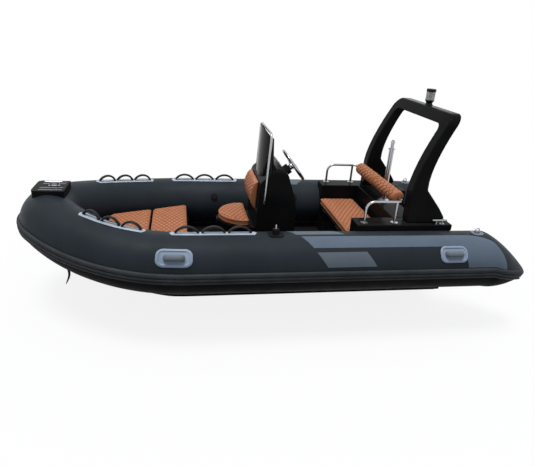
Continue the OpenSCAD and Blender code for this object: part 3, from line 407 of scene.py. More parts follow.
# %% Lofted, turned and square parts
def loft(bm, rings, capped=True):
    """Extrude the first ring of points through the other rings."""
    order = bm.verts.layers.int.get("order") or bm.verts.layers.int.new("order")
    start = []
    for i, point in enumerate(rings[0]):
        vert = bm.verts.new(point)
        vert[order] = i
        start.append(vert)
    first = edges = [bm.edges.new(pair) for pair in zip(start, start[1:] + start[:1])]
    for ring in rings[1:]:
        grown = bmesh.ops.extrude_edge_only(bm, edges=edges)["geom"]
        new = set(only(bmesh.types.BMVert, grown))
        for vert in new:
            vert.co = ring[vert[order]]
        edges = [e for e in only(bmesh.types.BMEdge, grown) if e.verts[0] in new and e.verts[1] in new]
    if capped:
        bmesh.ops.edgeloop_fill(bm, edges=first)
        bmesh.ops.edgeloop_fill(bm, edges=edges)


def spaced(a, b, steps):
    return [a + (b - a) * i / steps for i in range(steps + 1)]


def oval(middle, wide, thick, sides):
    """A ring of points from its middle and its two half axes."""
    return [middle + wide * cos(a) + thick * sin(a) for a in spaced(0, tau, sides)[:-1]]


def turned(bm, rows, place=Matrix(), sides=40):
    """A lathe: rows of radius and height, with the axis along Z of the place."""
    rings = [oval(Vector((0, 0, z)), Vector((r, 0, 0)), Vector((0, r, 0)), sides) for r, z in rows]
    loft(bm, [[place @ point for point in ring] for ring in rings])


def hoop(bm, radius, bar_r, place=Matrix(), steps=72, sides=20):
    """A round bar bent to a ring round Z of the place."""
    ring = bmesh.new()
    bar = bmesh.ops.create_circle(ring, segments=sides, radius=bar_r)["verts"]
    bmesh.ops.rotate(ring, cent=(0, 0, 0), matrix=Matrix.Rotation(pi / 2, 3, "X"), verts=bar)
    bmesh.ops.translate(ring, verts=bar, vec=(radius, 0, 0))
    bmesh.ops.spin(ring, geom=ring.verts[:] + ring.edges[:], cent=(0, 0, 0), axis=(0, 0, 1), angle=tau, steps=steps,
                   use_merge=True)
    bmesh.ops.transform(ring, matrix=place, verts=ring.verts)
    add_part(bm, ring)


def block(bm, size, place):
    verts = bmesh.ops.create_cube(bm, size=1)["verts"]
    bmesh.ops.scale(bm, vec=size, verts=verts)
    bmesh.ops.transform(bm, matrix=place, verts=verts)

# %% [markdown]
# ## The tube's path
# The air tubes run straight along the side, swing in on a long arc, close round the nose on a short one, and end aft
# in cones. A station is a place on that path. The same few measures stand in the CAD source, so both agree.

# %% Stations
Station = namedtuple("Station", "x y turn r z")
TUBE_R, HALF_SPAN, TUBE_Z = 0.270, 0.800, 0.490
TAIL_X, TAIL_LEN, TAIL_TIP_R, TAIL_SPREAD, TAIL_DROP = -1.960, 0.430, 0.035, 0.100, 0.105
BOW_START_X, SWEEP_R, BOW_TURN = 0.810, 1.600, radians(50)
NOSE_R = (HALF_SPAN - SWEEP_R * (1 - cos(BOW_TURN))) / cos(BOW_TURN)
NOSE_X = BOW_START_X + (SWEEP_R - NOSE_R) * sin(BOW_TURN)
BOW_X = NOSE_X + NOSE_R
SHEER_X, SHEER_RISE = 1.000, 0.130


def sheer(x):
    return TUBE_Z + SHEER_RISE * (max(0.0, x - SHEER_X) / (BOW_X - SHEER_X)) ** 2


def sweep_at(turn):
    x = BOW_START_X + SWEEP_R * sin(turn)
    return Station(x, HALF_SPAN - SWEEP_R * (1 - cos(turn)), turn, TUBE_R, sheer(x))


def nose_at(turn):
    x = NOSE_X + NOSE_R * sin(turn)
    return Station(x, NOSE_R * cos(turn), turn, TUBE_R, sheer(x))


def tail_at(t):
    return Station(TAIL_X - TAIL_LEN * t, HALF_SPAN + TAIL_SPREAD * t, 0.0,
                   TUBE_R - (TUBE_R - TAIL_TIP_R) * t ** 1.5, TUBE_Z - TAIL_DROP * t)


def station(s):
    """Place on the path: s is X along the straight and the tail, and goes on round the bow as a length."""
    if s < TAIL_X:
        return tail_at((TAIL_X - s) / TAIL_LEN)
    if s <= BOW_START_X:
        return Station(s, HALF_SPAN, 0.0, TUBE_R, sheer(s))
    turn = (s - BOW_START_X) / SWEEP_R
    if turn <= BOW_TURN:
        return sweep_at(turn)
    return nose_at(min(pi / 2, BOW_TURN + (s - BOW_START_X - SWEEP_R * BOW_TURN) / NOSE_R))


SWEEP_END = BOW_START_X + SWEEP_R * BOW_TURN
NOSE_END = SWEEP_END + NOSE_R * (pi / 2 - BOW_TURN)


def on_tube(st, phi, out=0.0):
    """Point at an angle round the tube: 0 is the outer side, a quarter turn is the top."""
    r = st.r + out
    return Vector((st.x + r * cos(phi) * sin(st.turn), st.y + r * cos(phi) * cos(st.turn), st.z + r * sin(phi)))


print("path length", round(NOSE_END - TAIL_X + TAIL_LEN, 3), "bow at", round(BOW_X, 3))

# %% [markdown]
# ## Air tubes
# A tube could be a curve with a round bevel, but the cones and the sheer change its section, so a ring is extruded
# from station to station. Rings stand closer round the nose, and the tip of the cone is drawn in and closed.


# %% Tubes
TUBE_SIDES, CONE_END, TIP_END = 72, 0.86, 0.55
# From the hull's edge to the strake the cloth is painted near-black, as painted shade on the tube's underside: the
# first and last point of that stretch of a ring
SHADED_BELLY_FROM, SHADED_BELLY_TO = round(TUBE_SIDES * 225 / 360), round(TUBE_SIDES * 355 / 360)


def tube_ring(st):
    return [on_tube(st, tau * i / TUBE_SIDES) for i in range(TUBE_SIDES)]


cone = [tail_at(t) for t in reversed(spaced(0, 1, 18)[1:])]
cone[0] = cone[0]._replace(r=CONE_END * cone[0].r)
tube_stations = [cone[0]._replace(r=TIP_END * TAIL_TIP_R)] + cone
tube_stations += [station(s) for s in spaced(TAIL_X, BOW_START_X, 24)]
tube_stations += [station(s) for s in spaced(BOW_START_X, SWEEP_END, 36)[1:]]
tube_stations += [station(s) for s in spaced(SWEEP_END, NOSE_END, 22)[1:]]
for side_name in ("port", "starboard"):
    bm = bmesh.new()
    loft(bm, [tube_ring(st) for st in tube_stations])
    order = bm.verts.layers.int["order"]
    for face in bm.faces:
        if all(SHADED_BELLY_FROM <= vert[order] <= SHADED_BELLY_TO for vert in face.verts):
            face.material_index = 1
    if side_name == "starboard":
        bmesh.ops.scale(bm, vec=(1, -1, 1), verts=bm.verts)
    tube = piece("air_tube_" + side_name, bm, "tube_coat", stands_for=["tube_" + side_name], sharp=60)
    # The second finish paints shade on the tube's underside
    tube.data.materials.append(finishes["belly_painted_shade"])

# %% [markdown]
# ## Things that lie on the tube
# Panels, pads and plates are glued to the tube's skin. Each is modelled flat, with X along the tube, Y round it and Z
# out of it, and is then rolled on to the tube. A flat face is cut into strips first so that it can bend.


# %% Roll a flat piece on to the tube
def strips(bm, step_x, step_y):
    """Cut all faces along a grid so that they can follow the tube."""
    for way, step in ((Vector((1, 0, 0)), step_x), (Vector((0, 1, 0)), step_y)):
        reach = [v.co.dot(way) for v in bm.verts]
        low, high = min(reach), max(reach)
        for cut in spaced(low, high, max(1, round((high - low) / step)))[1:-1]:
            bmesh.ops.bisect_plane(bm, geom=whole(bm), dist=1e-6, plane_co=way * cut, plane_no=way)


def roll_on(bm, lift):
    """Bend a flat piece round the tube, a little clear of its skin."""
    for vert in bm.verts:
        s, round_arc, out = vert.co
        vert.co = on_tube(station(s), round_arc / TUBE_R, out + lift)


def flat(outlines):
    """Flat faces from outlines of X and arc."""
    bm = bmesh.new()
    for outline in outlines:
        bm.faces.new([bm.verts.new((x, y, 0)) for x, y in outline])
    return bm


def raise_flat(bm, height):
    """Give a flat sheet of faces its thickness, with the lower side kept."""
    grown = bmesh.ops.extrude_face_region(bm, geom=bm.faces[:], use_keep_orig=True)["geom"]
    bmesh.ops.translate(bm, verts=only(bmesh.types.BMVert, grown), vec=(0, 0, height))


def cloth_on(outlines, thick, lift, step_x, step_y):
    """Cloth cut to outlines, given its thickness and rolled on."""
    bm = flat(outlines)
    strips(bm, step_x, step_y)
    raise_flat(bm, thick)
    roll_on(bm, lift)
    return bm


# %% Outlines on the tube
def arc_of(phi):
    return radians(phi) * TUBE_R


def quarter(centre, reach_x, reach_y, start, end, steps=14):
    """Points on a stretch of an ellipse, as X and arc."""
    return [(centre[0] + reach_x * cos(a), centre[1] + reach_y * sin(a))
            for a in spaced(radians(start), radians(end), steps)]


def glued_panel(name, outline, finish, thick=0.0012, lift=0.0004):
    bm = cloth_on([outline], thick, lift, 0.04, 0.016)
    both_sides(bm)
    piece(name, bm, finish, sharp=60)

# %% Coloured panels
BAND_LOW, BAND_TOP, STRAKE_TOP = arc_of(51), arc_of(80), arc_of(8.5)
band = [(-0.130, BAND_TOP), (-0.223, BAND_LOW)]
band += quarter((-1.436, STRAKE_TOP), -0.241, BAND_LOW - STRAKE_TOP, 90, 0)
band += quarter((-1.700, STRAKE_TOP), -0.384, BAND_TOP - STRAKE_TOP, 0, 90)
glued_panel("side_band", band, "band_coat")
# Corners of the slanting panels: X and degrees round the tube
SLANTS = {"side_wing": ((-0.249, 42.3), (-0.344, 14), (-0.791, 14.5), (-0.701, 42.6)),
          "deck_strip": ((-0.026, 112), (-0.093, 86), (-0.545, 86.5), (-0.447, 112))}
for name, corners in SLANTS.items():
    glued_panel(name, [(x, arc_of(phi)) for x, phi in corners], "wing_coat")

# %% Seam tapes of the air chambers
SEAM_PLACES, SEAM_HALF, SEAM_FROM, SEAM_TO = (-1.02, 0.42, 1.30), 0.02, arc_of(6), arc_of(205)
for number, seam_x in enumerate(SEAM_PLACES, 1):
    near, far = seam_x - SEAM_HALF, seam_x + SEAM_HALF
    tape = [(near, SEAM_FROM), (far, SEAM_FROM), (far, SEAM_TO), (near, SEAM_TO)]
    glued_panel(f"seam_tape_{number}", tape, "tube_coat", thick=0.0009, lift=0.0001)

# %% [markdown]
# ## Rubbing strake
# A heavy rubber strip runs round the widest line of the tubes. Its upper ridge has fine cross ribs, and two grooves
# part it from two smooth ridges below. The ribs are real: of every four rings of the sweep, two are drawn in a little
# on the upper ridge.

# %% Strake
STRAKE_PHI, STRAKE_H, STRAKE_T, STRAKE_GAP = radians(-3), 0.092, 0.024, 0.0008
# The section from its lower edge up: share of the height, share of the thickness, depth of the ribs
STRAKE_PROFILE = [(-0.50, 0.30, 0), (-0.47, 0.70, 0), (-0.42, 0.92, 0), (-0.36, 0.96, 0), (-0.30, 0.92, 0),
                  (-0.26, 0.55, 0), (-0.22, 0.45, 0), (-0.18, 0.58, 0), (-0.14, 0.96, 0), (-0.07, 1.00, 0),
                  (0.00, 0.96, 0), (0.04, 0.58, 0), (0.08, 0.45, 0), (0.12, 0.66, 0), (0.15, 0.94, 1),
                  (0.24, 1.0, 1), (0.38, 0.94, 1), (0.45, 0.74, 1), (0.48, 0.5, 0), (0.50, 0.30, 0)]
RIB_PITCH, RIB_DEPTH = 0.017, 0.0032
# The rings of one rib: share of the pitch, drawn in or not
RIB_RINGS = ((0, True), (0.3, True), (0.42, False), (0.88, False))


def strake_ring(s, drawn_in):
    st = station(s)

    def at(share):
        return STRAKE_PHI + share * STRAKE_H / st.r

    back = [on_tube(st, at(share), STRAKE_GAP) for share in spaced(0.5, -0.5, 6)]
    front = [on_tube(st, at(share), STRAKE_GAP + STRAKE_T * out - (RIB_DEPTH * rib if drawn_in else 0))
             for share, out, rib in STRAKE_PROFILE]
    return back + front


strake_start = TAIL_X - 0.8 * TAIL_LEN
ribs = int((NOSE_END - strake_start) / RIB_PITCH)
rib_places = [(strake_start + (i + share) * RIB_PITCH, drawn_in)
              for i in range(ribs) for share, drawn_in in RIB_RINGS]
rib_places.append((NOSE_END, False))
bm = bmesh.new()
loft(bm, [strake_ring(s, drawn_in) for s, drawn_in in rib_places], capped=False)
both_sides(bm, weld=1e-5)
bmesh.ops.holes_fill(bm, edges=[e for e in bm.edges if e.is_boundary], sides=0)
piece("rubbing_strake", bm, "strake_rubber", stands_for=["rub_strake"], sharp=50)
print("strake:", ribs, "ribs a side")

# %% [markdown]
# ## Hull
# The hull is a deep V of glass fibre. Its ring runs from the keel over two spray rails to the chine, up to the tube's
# underside and back inside. The CAD rings stand five degrees or more apart round the bow; here they are closer, so
# that the gloss runs smoothly into the stem.

# %% Hull
KEEL_Z, FOREFOOT_X, STEM_POWER, TRANSOM_X = -0.200, 1.000, 2.75, -1.700
STEM_Z = sheer(BOW_X) - TUBE_R - 0.024
CHINE_SHARE, CHINE_FLAT, CHINE_RISE, CHINE_BOW_RISE = 0.92, 0.04, 0.45, 0.2
HULL_WALL, SOLE_Z, SOLE_T = 0.025, 0.260, 0.020
SPRAY_RAILS = ((0.30, 0.36), (0.62, 0.68))
# Where the tube sits on the hull, from the plan angle: angle, phi, gap
SEATS = ((0, -135, 0.0003), (30, -135, 0.0003), (35, -120, 0.004), (45, -120, 0.004), (50, -105, 0.004),
         (63.3, -105, 0.004), (70, -90, 0.004), (90, -90, 0.004))


def hull_edge(st):
    turns, phis, gaps = zip(*SEATS)
    turn = st.turn * 180 / pi
    return on_tube(st, radians(np.interp(turn, turns, phis)), np.interp(turn, turns, gaps))


def keel_at(x):
    return KEEL_Z + (STEM_Z - KEEL_Z) * (max(0.0, x - FOREFOOT_X) / (BOW_X - FOREFOOT_X)) ** STEM_POWER


def hull_ring(st):
    x, y, z = hull_edge(st)
    keel = keel_at(x)
    lift = CHINE_RISE + CHINE_BOW_RISE * max(0.0, x - FOREFOOT_X) / (BOW_X - FOREFOOT_X)
    chine_y, chine_z = CHINE_SHARE * y, keel + lift * (z - keel)
    half = []
    for low, high in SPRAY_RAILS:
        half += [(chine_y * low, keel + (chine_z - keel) * low), (chine_y * high, keel + (chine_z - keel) * low),
                 (chine_y * high, keel + (chine_z - keel) * high)]
    wall_y = y - min(HULL_WALL, 0.2 * y)
    half += [(chine_y, chine_z), (chine_y + CHINE_FLAT * y, chine_z), (y, z), (wall_y, z),
             (wall_y, max(SOLE_Z - SOLE_T, keel + 0.6 * (z - keel)))]
    ring = [(0, keel)] + half + [(-across, up) for across, up in reversed(half)]
    return [Vector((x, across, up)) for across, up in ring]


hull_stations = [station(s) for s in spaced(TRANSOM_X, BOW_START_X, 6)]
hull_stations += [station(s) for s in spaced(BOW_START_X, SWEEP_END, 30)[1:]]
hull_stations += [nose_at(radians(a)) for a in spaced(50, 83.33, 14)[1:]]
bm = bmesh.new()
loft(bm, [hull_ring(st) for st in hull_stations])
piece("hull_moulding", bm, "hull_gelcoat", stands_for=["hull"], sharp=24)

# %% [markdown]
# ## Mouldings that keep their CAD shape
# The console, the lockers, the lids, the decks and the arch are right in CAD. They get a small round on every sharp
# edge from a Bevel modifier, because a moulding's edge is never sharp and the bright line on it shows the shape. The
# CAD mesh is loose triangles, so a Weld comes first, and a second one closes the fine slits that the bevel leaves.


# %% Dress CAD nodes
def modify(obj, name, kind, **settings):
    """A modifier with its settings."""
    modifier = obj.modifiers.new(name, kind)
    for setting, value in settings.items():
        setattr(modifier, setting, value)


def dress(node, finish, round_by=0.0):
    obj = nodes[node]
    if "custom_normal" in obj.data.attributes:
        obj.data.attributes.remove(obj.data.attributes["custom_normal"])
    coat(obj.data, finish)
    modify(obj, "join", "WELD", merge_threshold=1e-5)
    if round_by:
        modify(obj, "flat", "DECIMATE", decimate_type="DISSOLVE", angle_limit=radians(0.5))
        modify(obj, "round", "BEVEL", width=round_by, segments=3, limit_method="ANGLE", angle_limit=radians(35),
               harden_normals=True)
        modify(obj, "seal", "WELD", merge_threshold=2e-5)
    else:
        modify(obj, "crisp", "EDGE_SPLIT", split_angle=radians(38))


MOULDED = {"transom": 0.008, "bow_step": 0.012, "bow_locker": 0.006, "bow_lid": 0.003, "seat_base": 0.006,
           "seat_lid": 0.003, "console": 0.014, "bench_base": 0.006, "bench_lid": 0.003, "side_deck_port": 0.010,
           "side_deck_starboard": 0.010, "stern_deck": 0.010, "arch": 0.014}
CRISP = {"rail_steel": ("bow_cleat", "bow_eye", "windscreen_rail", "bench_latches", "backrest_rail", "tow_post",
                        "stern_cleats"),
         "helm_plastic": ("helm", "throttle", "dash_gauges", "nav_light"),
         "lamp_glass": ("nav_lens",), "fitting_rubber": ("valves", "oarlocks")}
for node, round_by in MOULDED.items():
    dress(node, "black_gelcoat", round_by)
dress("cockpit_sole", "sole_gelcoat", 0.004)
for finish, group in CRISP.items():
    for node in group:
        dress(node, finish)
print("dressed", sum(1 for o in nodes.values() if o.modifiers), "CAD nodes")

# %% [markdown]
# ## Cushions
# A cushion is foam in a sewn cover: crowned, with sides that pull in a little, and flat where it rests. A copy of the
# CAD pad is made a bit smaller, its corners are rounded, and it is remeshed into even squares. Blender's cloth then
# blows it up against its own cover. The sewn diamonds come last, because the remesh would wipe them out.


# %% Stuffing
CLOTH_TICKS = 20


def as_seen(obj):
    """A new mesh of the object as its modifiers or its bevel leave it."""
    return bpy.data.meshes.new_from_object(obj.evaluated_get(bpy.context.evaluated_depsgraph_get()))


def apply(obj, name, kind, **settings):
    """A modifier whose result becomes the mesh."""
    modify(obj, name, kind, **settings)
    fresh = as_seen(obj)
    obj.modifiers.clear()
    obj.data = fresh


def points_of(obj):
    co = np.empty(len(obj.data.vertices) * 3, np.float32)
    obj.data.vertices.foreach_get("co", co)
    normal = np.empty_like(co)
    obj.data.vertices.foreach_get("normal", normal)
    return co.reshape(-1, 3), normal.reshape(-1, 3)


def put_points(obj, co):
    obj.data.vertices.foreach_set("co", co.astype(np.float32).ravel())
    obj.data.update()


def blow_up(obj, pressure, cap):
    """Cloth under pressure; no point leaves its place by more than the cap."""
    start = points_of(obj)[0]
    cover = obj.modifiers.new("cover", "CLOTH")
    cover.settings.quality = 3
    cover.settings.use_pressure = True
    cover.settings.uniform_pressure_force = pressure
    cover.settings.effector_weights.gravity = 0
    cover.collision_settings.use_collision = False
    cover.point_cache.frame_end = CLOTH_TICKS
    for tick in range(1, CLOTH_TICKS + 1):
        scene.frame_set(tick)
    move = points_of(obj.evaluated_get(bpy.context.evaluated_depsgraph_get()))[0] - start
    obj.modifiers.clear()
    scene.frame_set(1)
    size = np.linalg.norm(move, axis=1, keepdims=True)
    put_points(obj, start + move * np.minimum(1, cap / np.maximum(size, 1e-9)))
    return float(size.max())


# %% Sewn lines
def sew(obj, lines, on, depth, width=0.0045):
    """Pull the cover in and mark the grooves for painted shade: lines gives each point's distance to the nearest sewn
    line, on its share there.
    """
    co, normal = points_of(obj)
    groove = np.exp(-(lines(co) / width) ** 2) * on(co, normal)
    put_points(obj, co - normal * (depth * groove)[:, None])
    # The mark paints shade into the grooves, where the hides darken
    mark = obj.data.attributes.new("sewn", "FLOAT", "POINT")
    mark.data.foreach_set("value", (0.9 * groove).astype(np.float32))
    obj.data.update()


def facing(way):
    """Share of a point's facing in one direction: 0 on the sides, 1 on the face."""
    return lambda co, normal: np.clip((normal @ np.array(way) - 0.55) / 0.35, 0, 1)


def crossing(along, across, pitch, slant):
    """Distance to the nearest of two families of slanting lines."""
    both = [(along + slant * across) / pitch, (along - slant * across) / pitch]
    return np.minimum(*[np.abs(t - np.round(t)) for t in both]) * pitch / (1 + slant * slant) ** 0.5


def diamonds(along, across, pitch=0.0495, slant=0.62):
    """Sewn diamonds on a flat face, along two of the axes."""
    return lambda co: crossing(co[:, along], co[:, across], pitch, slant)

# %% Pad blanks
def pad_blank(name, node, shrink, corner, edge):
    """A copy of a CAD pad, a bit smaller, with its upright corners and its rims rounded."""
    bm = bmesh.new()
    bm.from_mesh(nodes[node].data)
    bmesh.ops.remove_doubles(bm, verts=bm.verts, dist=1e-5)
    bmesh.ops.dissolve_limit(bm, angle_limit=radians(0.5), verts=bm.verts, edges=bm.edges)
    low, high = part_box(node)
    smaller = Vector(1 - 2 * s / d for s, d in zip(shrink, high - low))
    bmesh.ops.scale(bm, vec=smaller, verts=bm.verts, space=Matrix.Translation(-(low + high) / 2))
    if corner:
        upright = [e for e in bm.edges if abs((e.verts[0].co - e.verts[1].co).normalized().z) > 0.9
                   and e.calc_face_angle(0) > radians(30)]
        round_off(bm, upright, corner, 6)
    round_off(bm, [e for e in bm.edges if e.calc_face_angle(0) > radians(50)], edge, 3)
    return link(name, bm)


def waist(pad, height):
    """The points of the pad's outline at one height, in order."""
    bm = bmesh.new()
    bm.from_mesh(pad.data)
    bmesh.ops.bisect_plane(bm, geom=whole(bm), plane_co=(0, 0, height), plane_no=(0, 0, 1), clear_inner=True,
                           clear_outer=True)
    bmesh.ops.remove_doubles(bm, verts=bm.verts, dist=0.002)
    loop = [bm.verts[:][0]]
    while True:
        step = [e.other_vert(loop[-1]) for e in loop[-1].link_edges if e.other_vert(loop[-1]) not in loop[-2:]]
        if not step or step[0] is loop[0]:
            break
        loop.append(step[0])
    points = [vert.co.copy() for vert in loop]
    bm.free()
    return points


def piping(name, pad, height, body, radius=0.0045):
    """A sewn cord round the pad at one height."""
    points = waist(pad, height)
    line = bpy.data.curves.new(name, "CURVE")
    line.dimensions = "3D"
    line.bevel_depth = radius
    line.bevel_resolution = 2
    spline = line.splines.new("POLY")
    spline.use_cyclic_u = True
    spline.points.add(len(points) - 1)
    for knot, point in zip(spline.points, points):
        knot.co = (*point, 1)
    shape = show(name + "_line", line)
    mesh = as_seen(shape)
    bpy.data.objects.remove(shape)
    hand_over(show(name, mesh), "band_hide", body)


def cover(obj, node, body, fill):
    """Hand over a sewn pad in the seats' hide."""
    hand_over(obj, "seat_hide", body, [node])

# %% Seat cushions
SEAT_PADS = (("bow_pad_fwd", "bow_cushion_fwd", "boat"), ("bow_pad_aft", "bow_cushion_aft", "bow_hatch"),
             ("console_seat_pad", "seat_cushion", "seat_hatch"), ("bench_pad", "bench_cushion", "bench_hatch"))
PAD_SHRINK, PAD_CORNER, PAD_EDGE, PAD_GRID = (0.005, 0.005, 0.004), 0.028, 0.012, 0.0075
FOAM_PRESSURE, PAD_SWELL, PAD_CROWN, PAD_SEAT_GAP, SEWN_DEPTH = 4.0, 0.007, 0.008, 0.0005, 0.0045
PIPING_DOWN, PIPING_UP = 0.016, 0.014
for name, node, body in SEAT_PADS:
    low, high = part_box(node)
    pad = pad_blank(name, node, PAD_SHRINK, PAD_CORNER, PAD_EDGE)
    apply(pad, "even", "REMESH", mode="VOXEL", voxel_size=PAD_GRID)
    moved = blow_up(pad, FOAM_PRESSURE, PAD_SWELL)
    co, normal = points_of(pad)
    co[:, 2] = np.maximum(co[:, 2], low.z + PAD_SEAT_GAP)
    # The foam is crowned: the middle of the top stands higher than its rim
    middle, half = np.array((low + high) / 2), np.array((high - low) / 2)
    off = np.clip(np.abs(co - middle) / half, 0, 1)
    co[:, 2] += PAD_CROWN * (1 - off[:, 0] ** 2) * (1 - off[:, 1] ** 2) * (co[:, 2] > middle[2])
    put_points(pad, co)
    apply(pad, "fine", "SUBSURF", levels=1, render_levels=1)
    sew(pad, diamonds(0, 1), facing((0, 0, 1)), SEWN_DEPTH)
    cover(pad, node, body, 0.7)
    piping(name + "_upper_piping", pad, high.z - PIPING_DOWN, body)
    piping(name + "_lower_piping", pad, low.z + PIPING_UP, body)
    print(name, "cover moved", round(moved * 1000, 1), "mm")

# %% Backrest of the console seat
BACK_SHRINK, BACK_EDGE, BACK_GRID, BACK_SWELL, BACK_SEWN = (0.003, 0.005, 0.005), 0.010, 0.006, 0.005, 0.005
backrest = pad_blank("console_backrest", "backrest_pad", BACK_SHRINK, 0.0, BACK_EDGE)
apply(backrest, "even", "REMESH", mode="VOXEL", voxel_size=BACK_GRID)
moved = blow_up(backrest, FOAM_PRESSURE, BACK_SWELL)
apply(backrest, "fine", "SUBSURF", levels=1, render_levels=1)
sew(backrest, diamonds(2, 1), facing((1, 0, 0)), BACK_SEWN, 0.005)
cover(backrest, "backrest_pad", "boat", 0.75)
print("backrest cover moved", round(moved * 1000, 1), "mm")

# %% [markdown]
# ## Bolsters
# Two round bolsters sit on the stern rail. A circle is extruded along the rail, and the cover between the plain end
# caps is sewn in diamonds: two families of lines that wind round the roll and meet where they began.

# %% Bolsters
RAIL_X, RAIL_Z, BOLSTER_GAP, BOLSTER_LEN, BOLSTER_R = -1.142, 1.007, 0.026, 0.505, 0.065
CAP_LEN, ROLL_PITCH, ROLL_WINDS = 0.030, 0.074, 6
# The rounded end: length along the rail, share of the radius
CAP_ROWS = [(0.0, 0.45), (0.002, 0.72), (0.008, 0.90), (0.018, 0.965), (CAP_LEN - 0.005, 0.975),
            (CAP_LEN - 0.002, 0.94)]


def roll_ring(y, swell):
    r = BOLSTER_R * swell
    return oval(Vector((RAIL_X, BOLSTER_GAP / 2 + y, RAIL_Z)), Vector((r, 0, 0)), Vector((0, 0, r)), 120)


def on_roll(co, normal):
    """1 between the end caps."""
    from_middle = np.abs(np.abs(co[:, 1]) - (BOLSTER_GAP + BOLSTER_LEN) / 2)
    return (from_middle < BOLSTER_LEN / 2 - CAP_LEN + 0.001).astype(np.float32)


def roll_lines(co):
    arc = BOLSTER_R * np.arctan2(co[:, 2] - RAIL_Z, co[:, 0] - RAIL_X)
    return crossing(np.abs(co[:, 1]), arc, ROLL_PITCH, ROLL_WINDS * ROLL_PITCH / (tau * BOLSTER_R))


rows = CAP_ROWS + [(y, 1.0) for y in spaced(CAP_LEN, BOLSTER_LEN - CAP_LEN, 120)]
rows += [(BOLSTER_LEN - y, swell) for y, swell in reversed(CAP_ROWS)]
bm = bmesh.new()
loft(bm, [roll_ring(y, swell) for y, swell in rows])
both_sides(bm)
bolsters = piece("stern_bolsters", bm, "seat_hide", stands_for=["bolsters"], sharp=70)
sew(bolsters, roll_lines, on_roll, 0.006, 0.0055)

# %% [markdown]
# ## Windscreen
# The screen is one sheet of smoked acrylic bent round the dash, with a dark trim on its top edge. The CAD sheet has
# flat steps; the same outline is extruded here in finer ones.

# %% Windscreen
SCREEN_FOOT, SCREEN_HEAD, SCREEN_T = (0.010, 0.145, 0.285), (0.030, 0.105, 0.265), 0.006
DASH_X, DASH_Z, DASH_SLOPE, DASH_GAP = 0.010, 1.200, 0.125 / 0.140, 0.0003
SCREEN_TOP_Z, SCREEN_CROWN, SCREEN_DROP = 1.505, 0.055, 0.090
SCREEN_TURNS = [radians(a) for a in spaced(78, -78, 52)]
TRIM_HALF_T, TRIM_HALF_H = 0.006, Vector((0, 0, 0.007))


def screen_point(edge, a, inset):
    return edge[0] + (edge[1] - inset) * cos(a), (edge[2] - inset) * sin(a)


def screen_ring(a):
    ring = []
    for inset in (0.0, SCREEN_T):
        x, y = screen_point(SCREEN_FOOT, a, inset)
        foot = Vector((x, y, DASH_Z - (x - DASH_X) * DASH_SLOPE + DASH_GAP))
        x, y = screen_point(SCREEN_HEAD, a, inset)
        head = Vector((x, y, SCREEN_TOP_Z + SCREEN_CROWN - SCREEN_DROP * sin(a) ** 2))
        ring.append([foot + (head - foot) * up for up in (0, 0.25, 0.5, 0.75, 1)])
    return ring[0] + ring[1][::-1]


screen_rings = [screen_ring(a) for a in SCREEN_TURNS]
bm = bmesh.new()
loft(bm, screen_rings)
piece("smoked_screen", bm, "smoked_acrylic", stands_for=["windscreen"], sharp=40)
bm = bmesh.new()
# The two points at the top of a ring carry the trim
loft(bm, [oval((ring[4] + ring[5]) / 2, Vector((cos(a), sin(a), 0)) * TRIM_HALF_T, TRIM_HALF_H, 12)
          for a, ring in zip(SCREEN_TURNS, screen_rings)])
piece("screen_trim", bm, "fitting_rubber", sharp=60)

# %% [markdown]
# ## Grab loops and their pads
# Along each tube, flat straps arch over pale strips of cloth with pointed ends. The straps are a flat oval carried
# along an arc; the strips are cut flat and rolled on to the tube, and a small tab covers each foot of a strap.

# %% Loop pads
# Place of the first loop from the start of the bow, pitch, count
LOOP_GROUPS = ((-0.410, 0.228, 3), (0.525, 0.197, 3))
LOOP_PHI, LOOP_SHARE, LOOP_RISE, SKIN_GAP = radians(95), 0.86, 0.052, 0.0003
PAD_W, PAD_T, PAD_END, PAD_POINT = 0.084, 0.003, 0.66, 0.024
TAB_LEN, TAB_W, TAB_T, TAB_POINT, TAB_GAP = 0.040, 0.056, 0.002, 0.008, 0.0002


def pointed(near, far, width, point):
    """Outline of a strip with pointed ends, along the line of the loops."""
    half, line = width / 2, LOOP_PHI * TUBE_R
    upper = [(near, line), (near + point, line + half), (far - point, line + half)]
    return upper + [(far, line), (far - point, line - half), (near + point, line - half)]


bands, tabs = [], []
for first, pitch, count in LOOP_GROUPS:
    middle = BOW_START_X + first
    bands.append(pointed(middle - PAD_END * pitch, middle + (count - 1 + PAD_END) * pitch, PAD_W, PAD_POINT))
    for i in range(count + 1):
        # Between two loops, one tab covers both feet
        near = middle + pitch * (i - 1 + LOOP_SHARE / 2 if i else -LOOP_SHARE / 2)
        far = middle + pitch * (i - LOOP_SHARE / 2 if i < count else count - 1 + LOOP_SHARE / 2)
        tabs.append(pointed(near - TAB_LEN / 2, far + TAB_LEN / 2, TAB_W, TAB_POINT))
bm = bmesh.new()
for outlines, thick, lift in ((bands, PAD_T, SKIN_GAP), (tabs, TAB_T, PAD_T + TAB_GAP)):
    add_part(bm, cloth_on(outlines, thick, lift, 0.02, 0.012))
both_sides(bm)
piece("loop_pads", bm, "pad_coat", stands_for=["handle_pads"], sharp=50)

# %% Loops
def sheer_bend(x):
    """Rise of the sheer for each square metre forward of its start."""
    return SHEER_RISE / (BOW_X - SHEER_X) ** 2 if x > SHEER_X else 0.0


def seat(st, phi):
    """Frame on the tube's skin: X along the tube with its sheer, Z out of the skin."""
    pitch = atan2(2 * sheer_bend(st.x) * (st.x - SHEER_X) * cos(st.turn), 1)
    return (Matrix.Translation(on_tube(st, phi, SKIN_GAP)) @ Matrix.Rotation(-st.turn, 4, "Z")
            @ Matrix.Rotation(-pitch, 4, "Y") @ Matrix.Rotation(phi - pi / 2, 4, "X"))


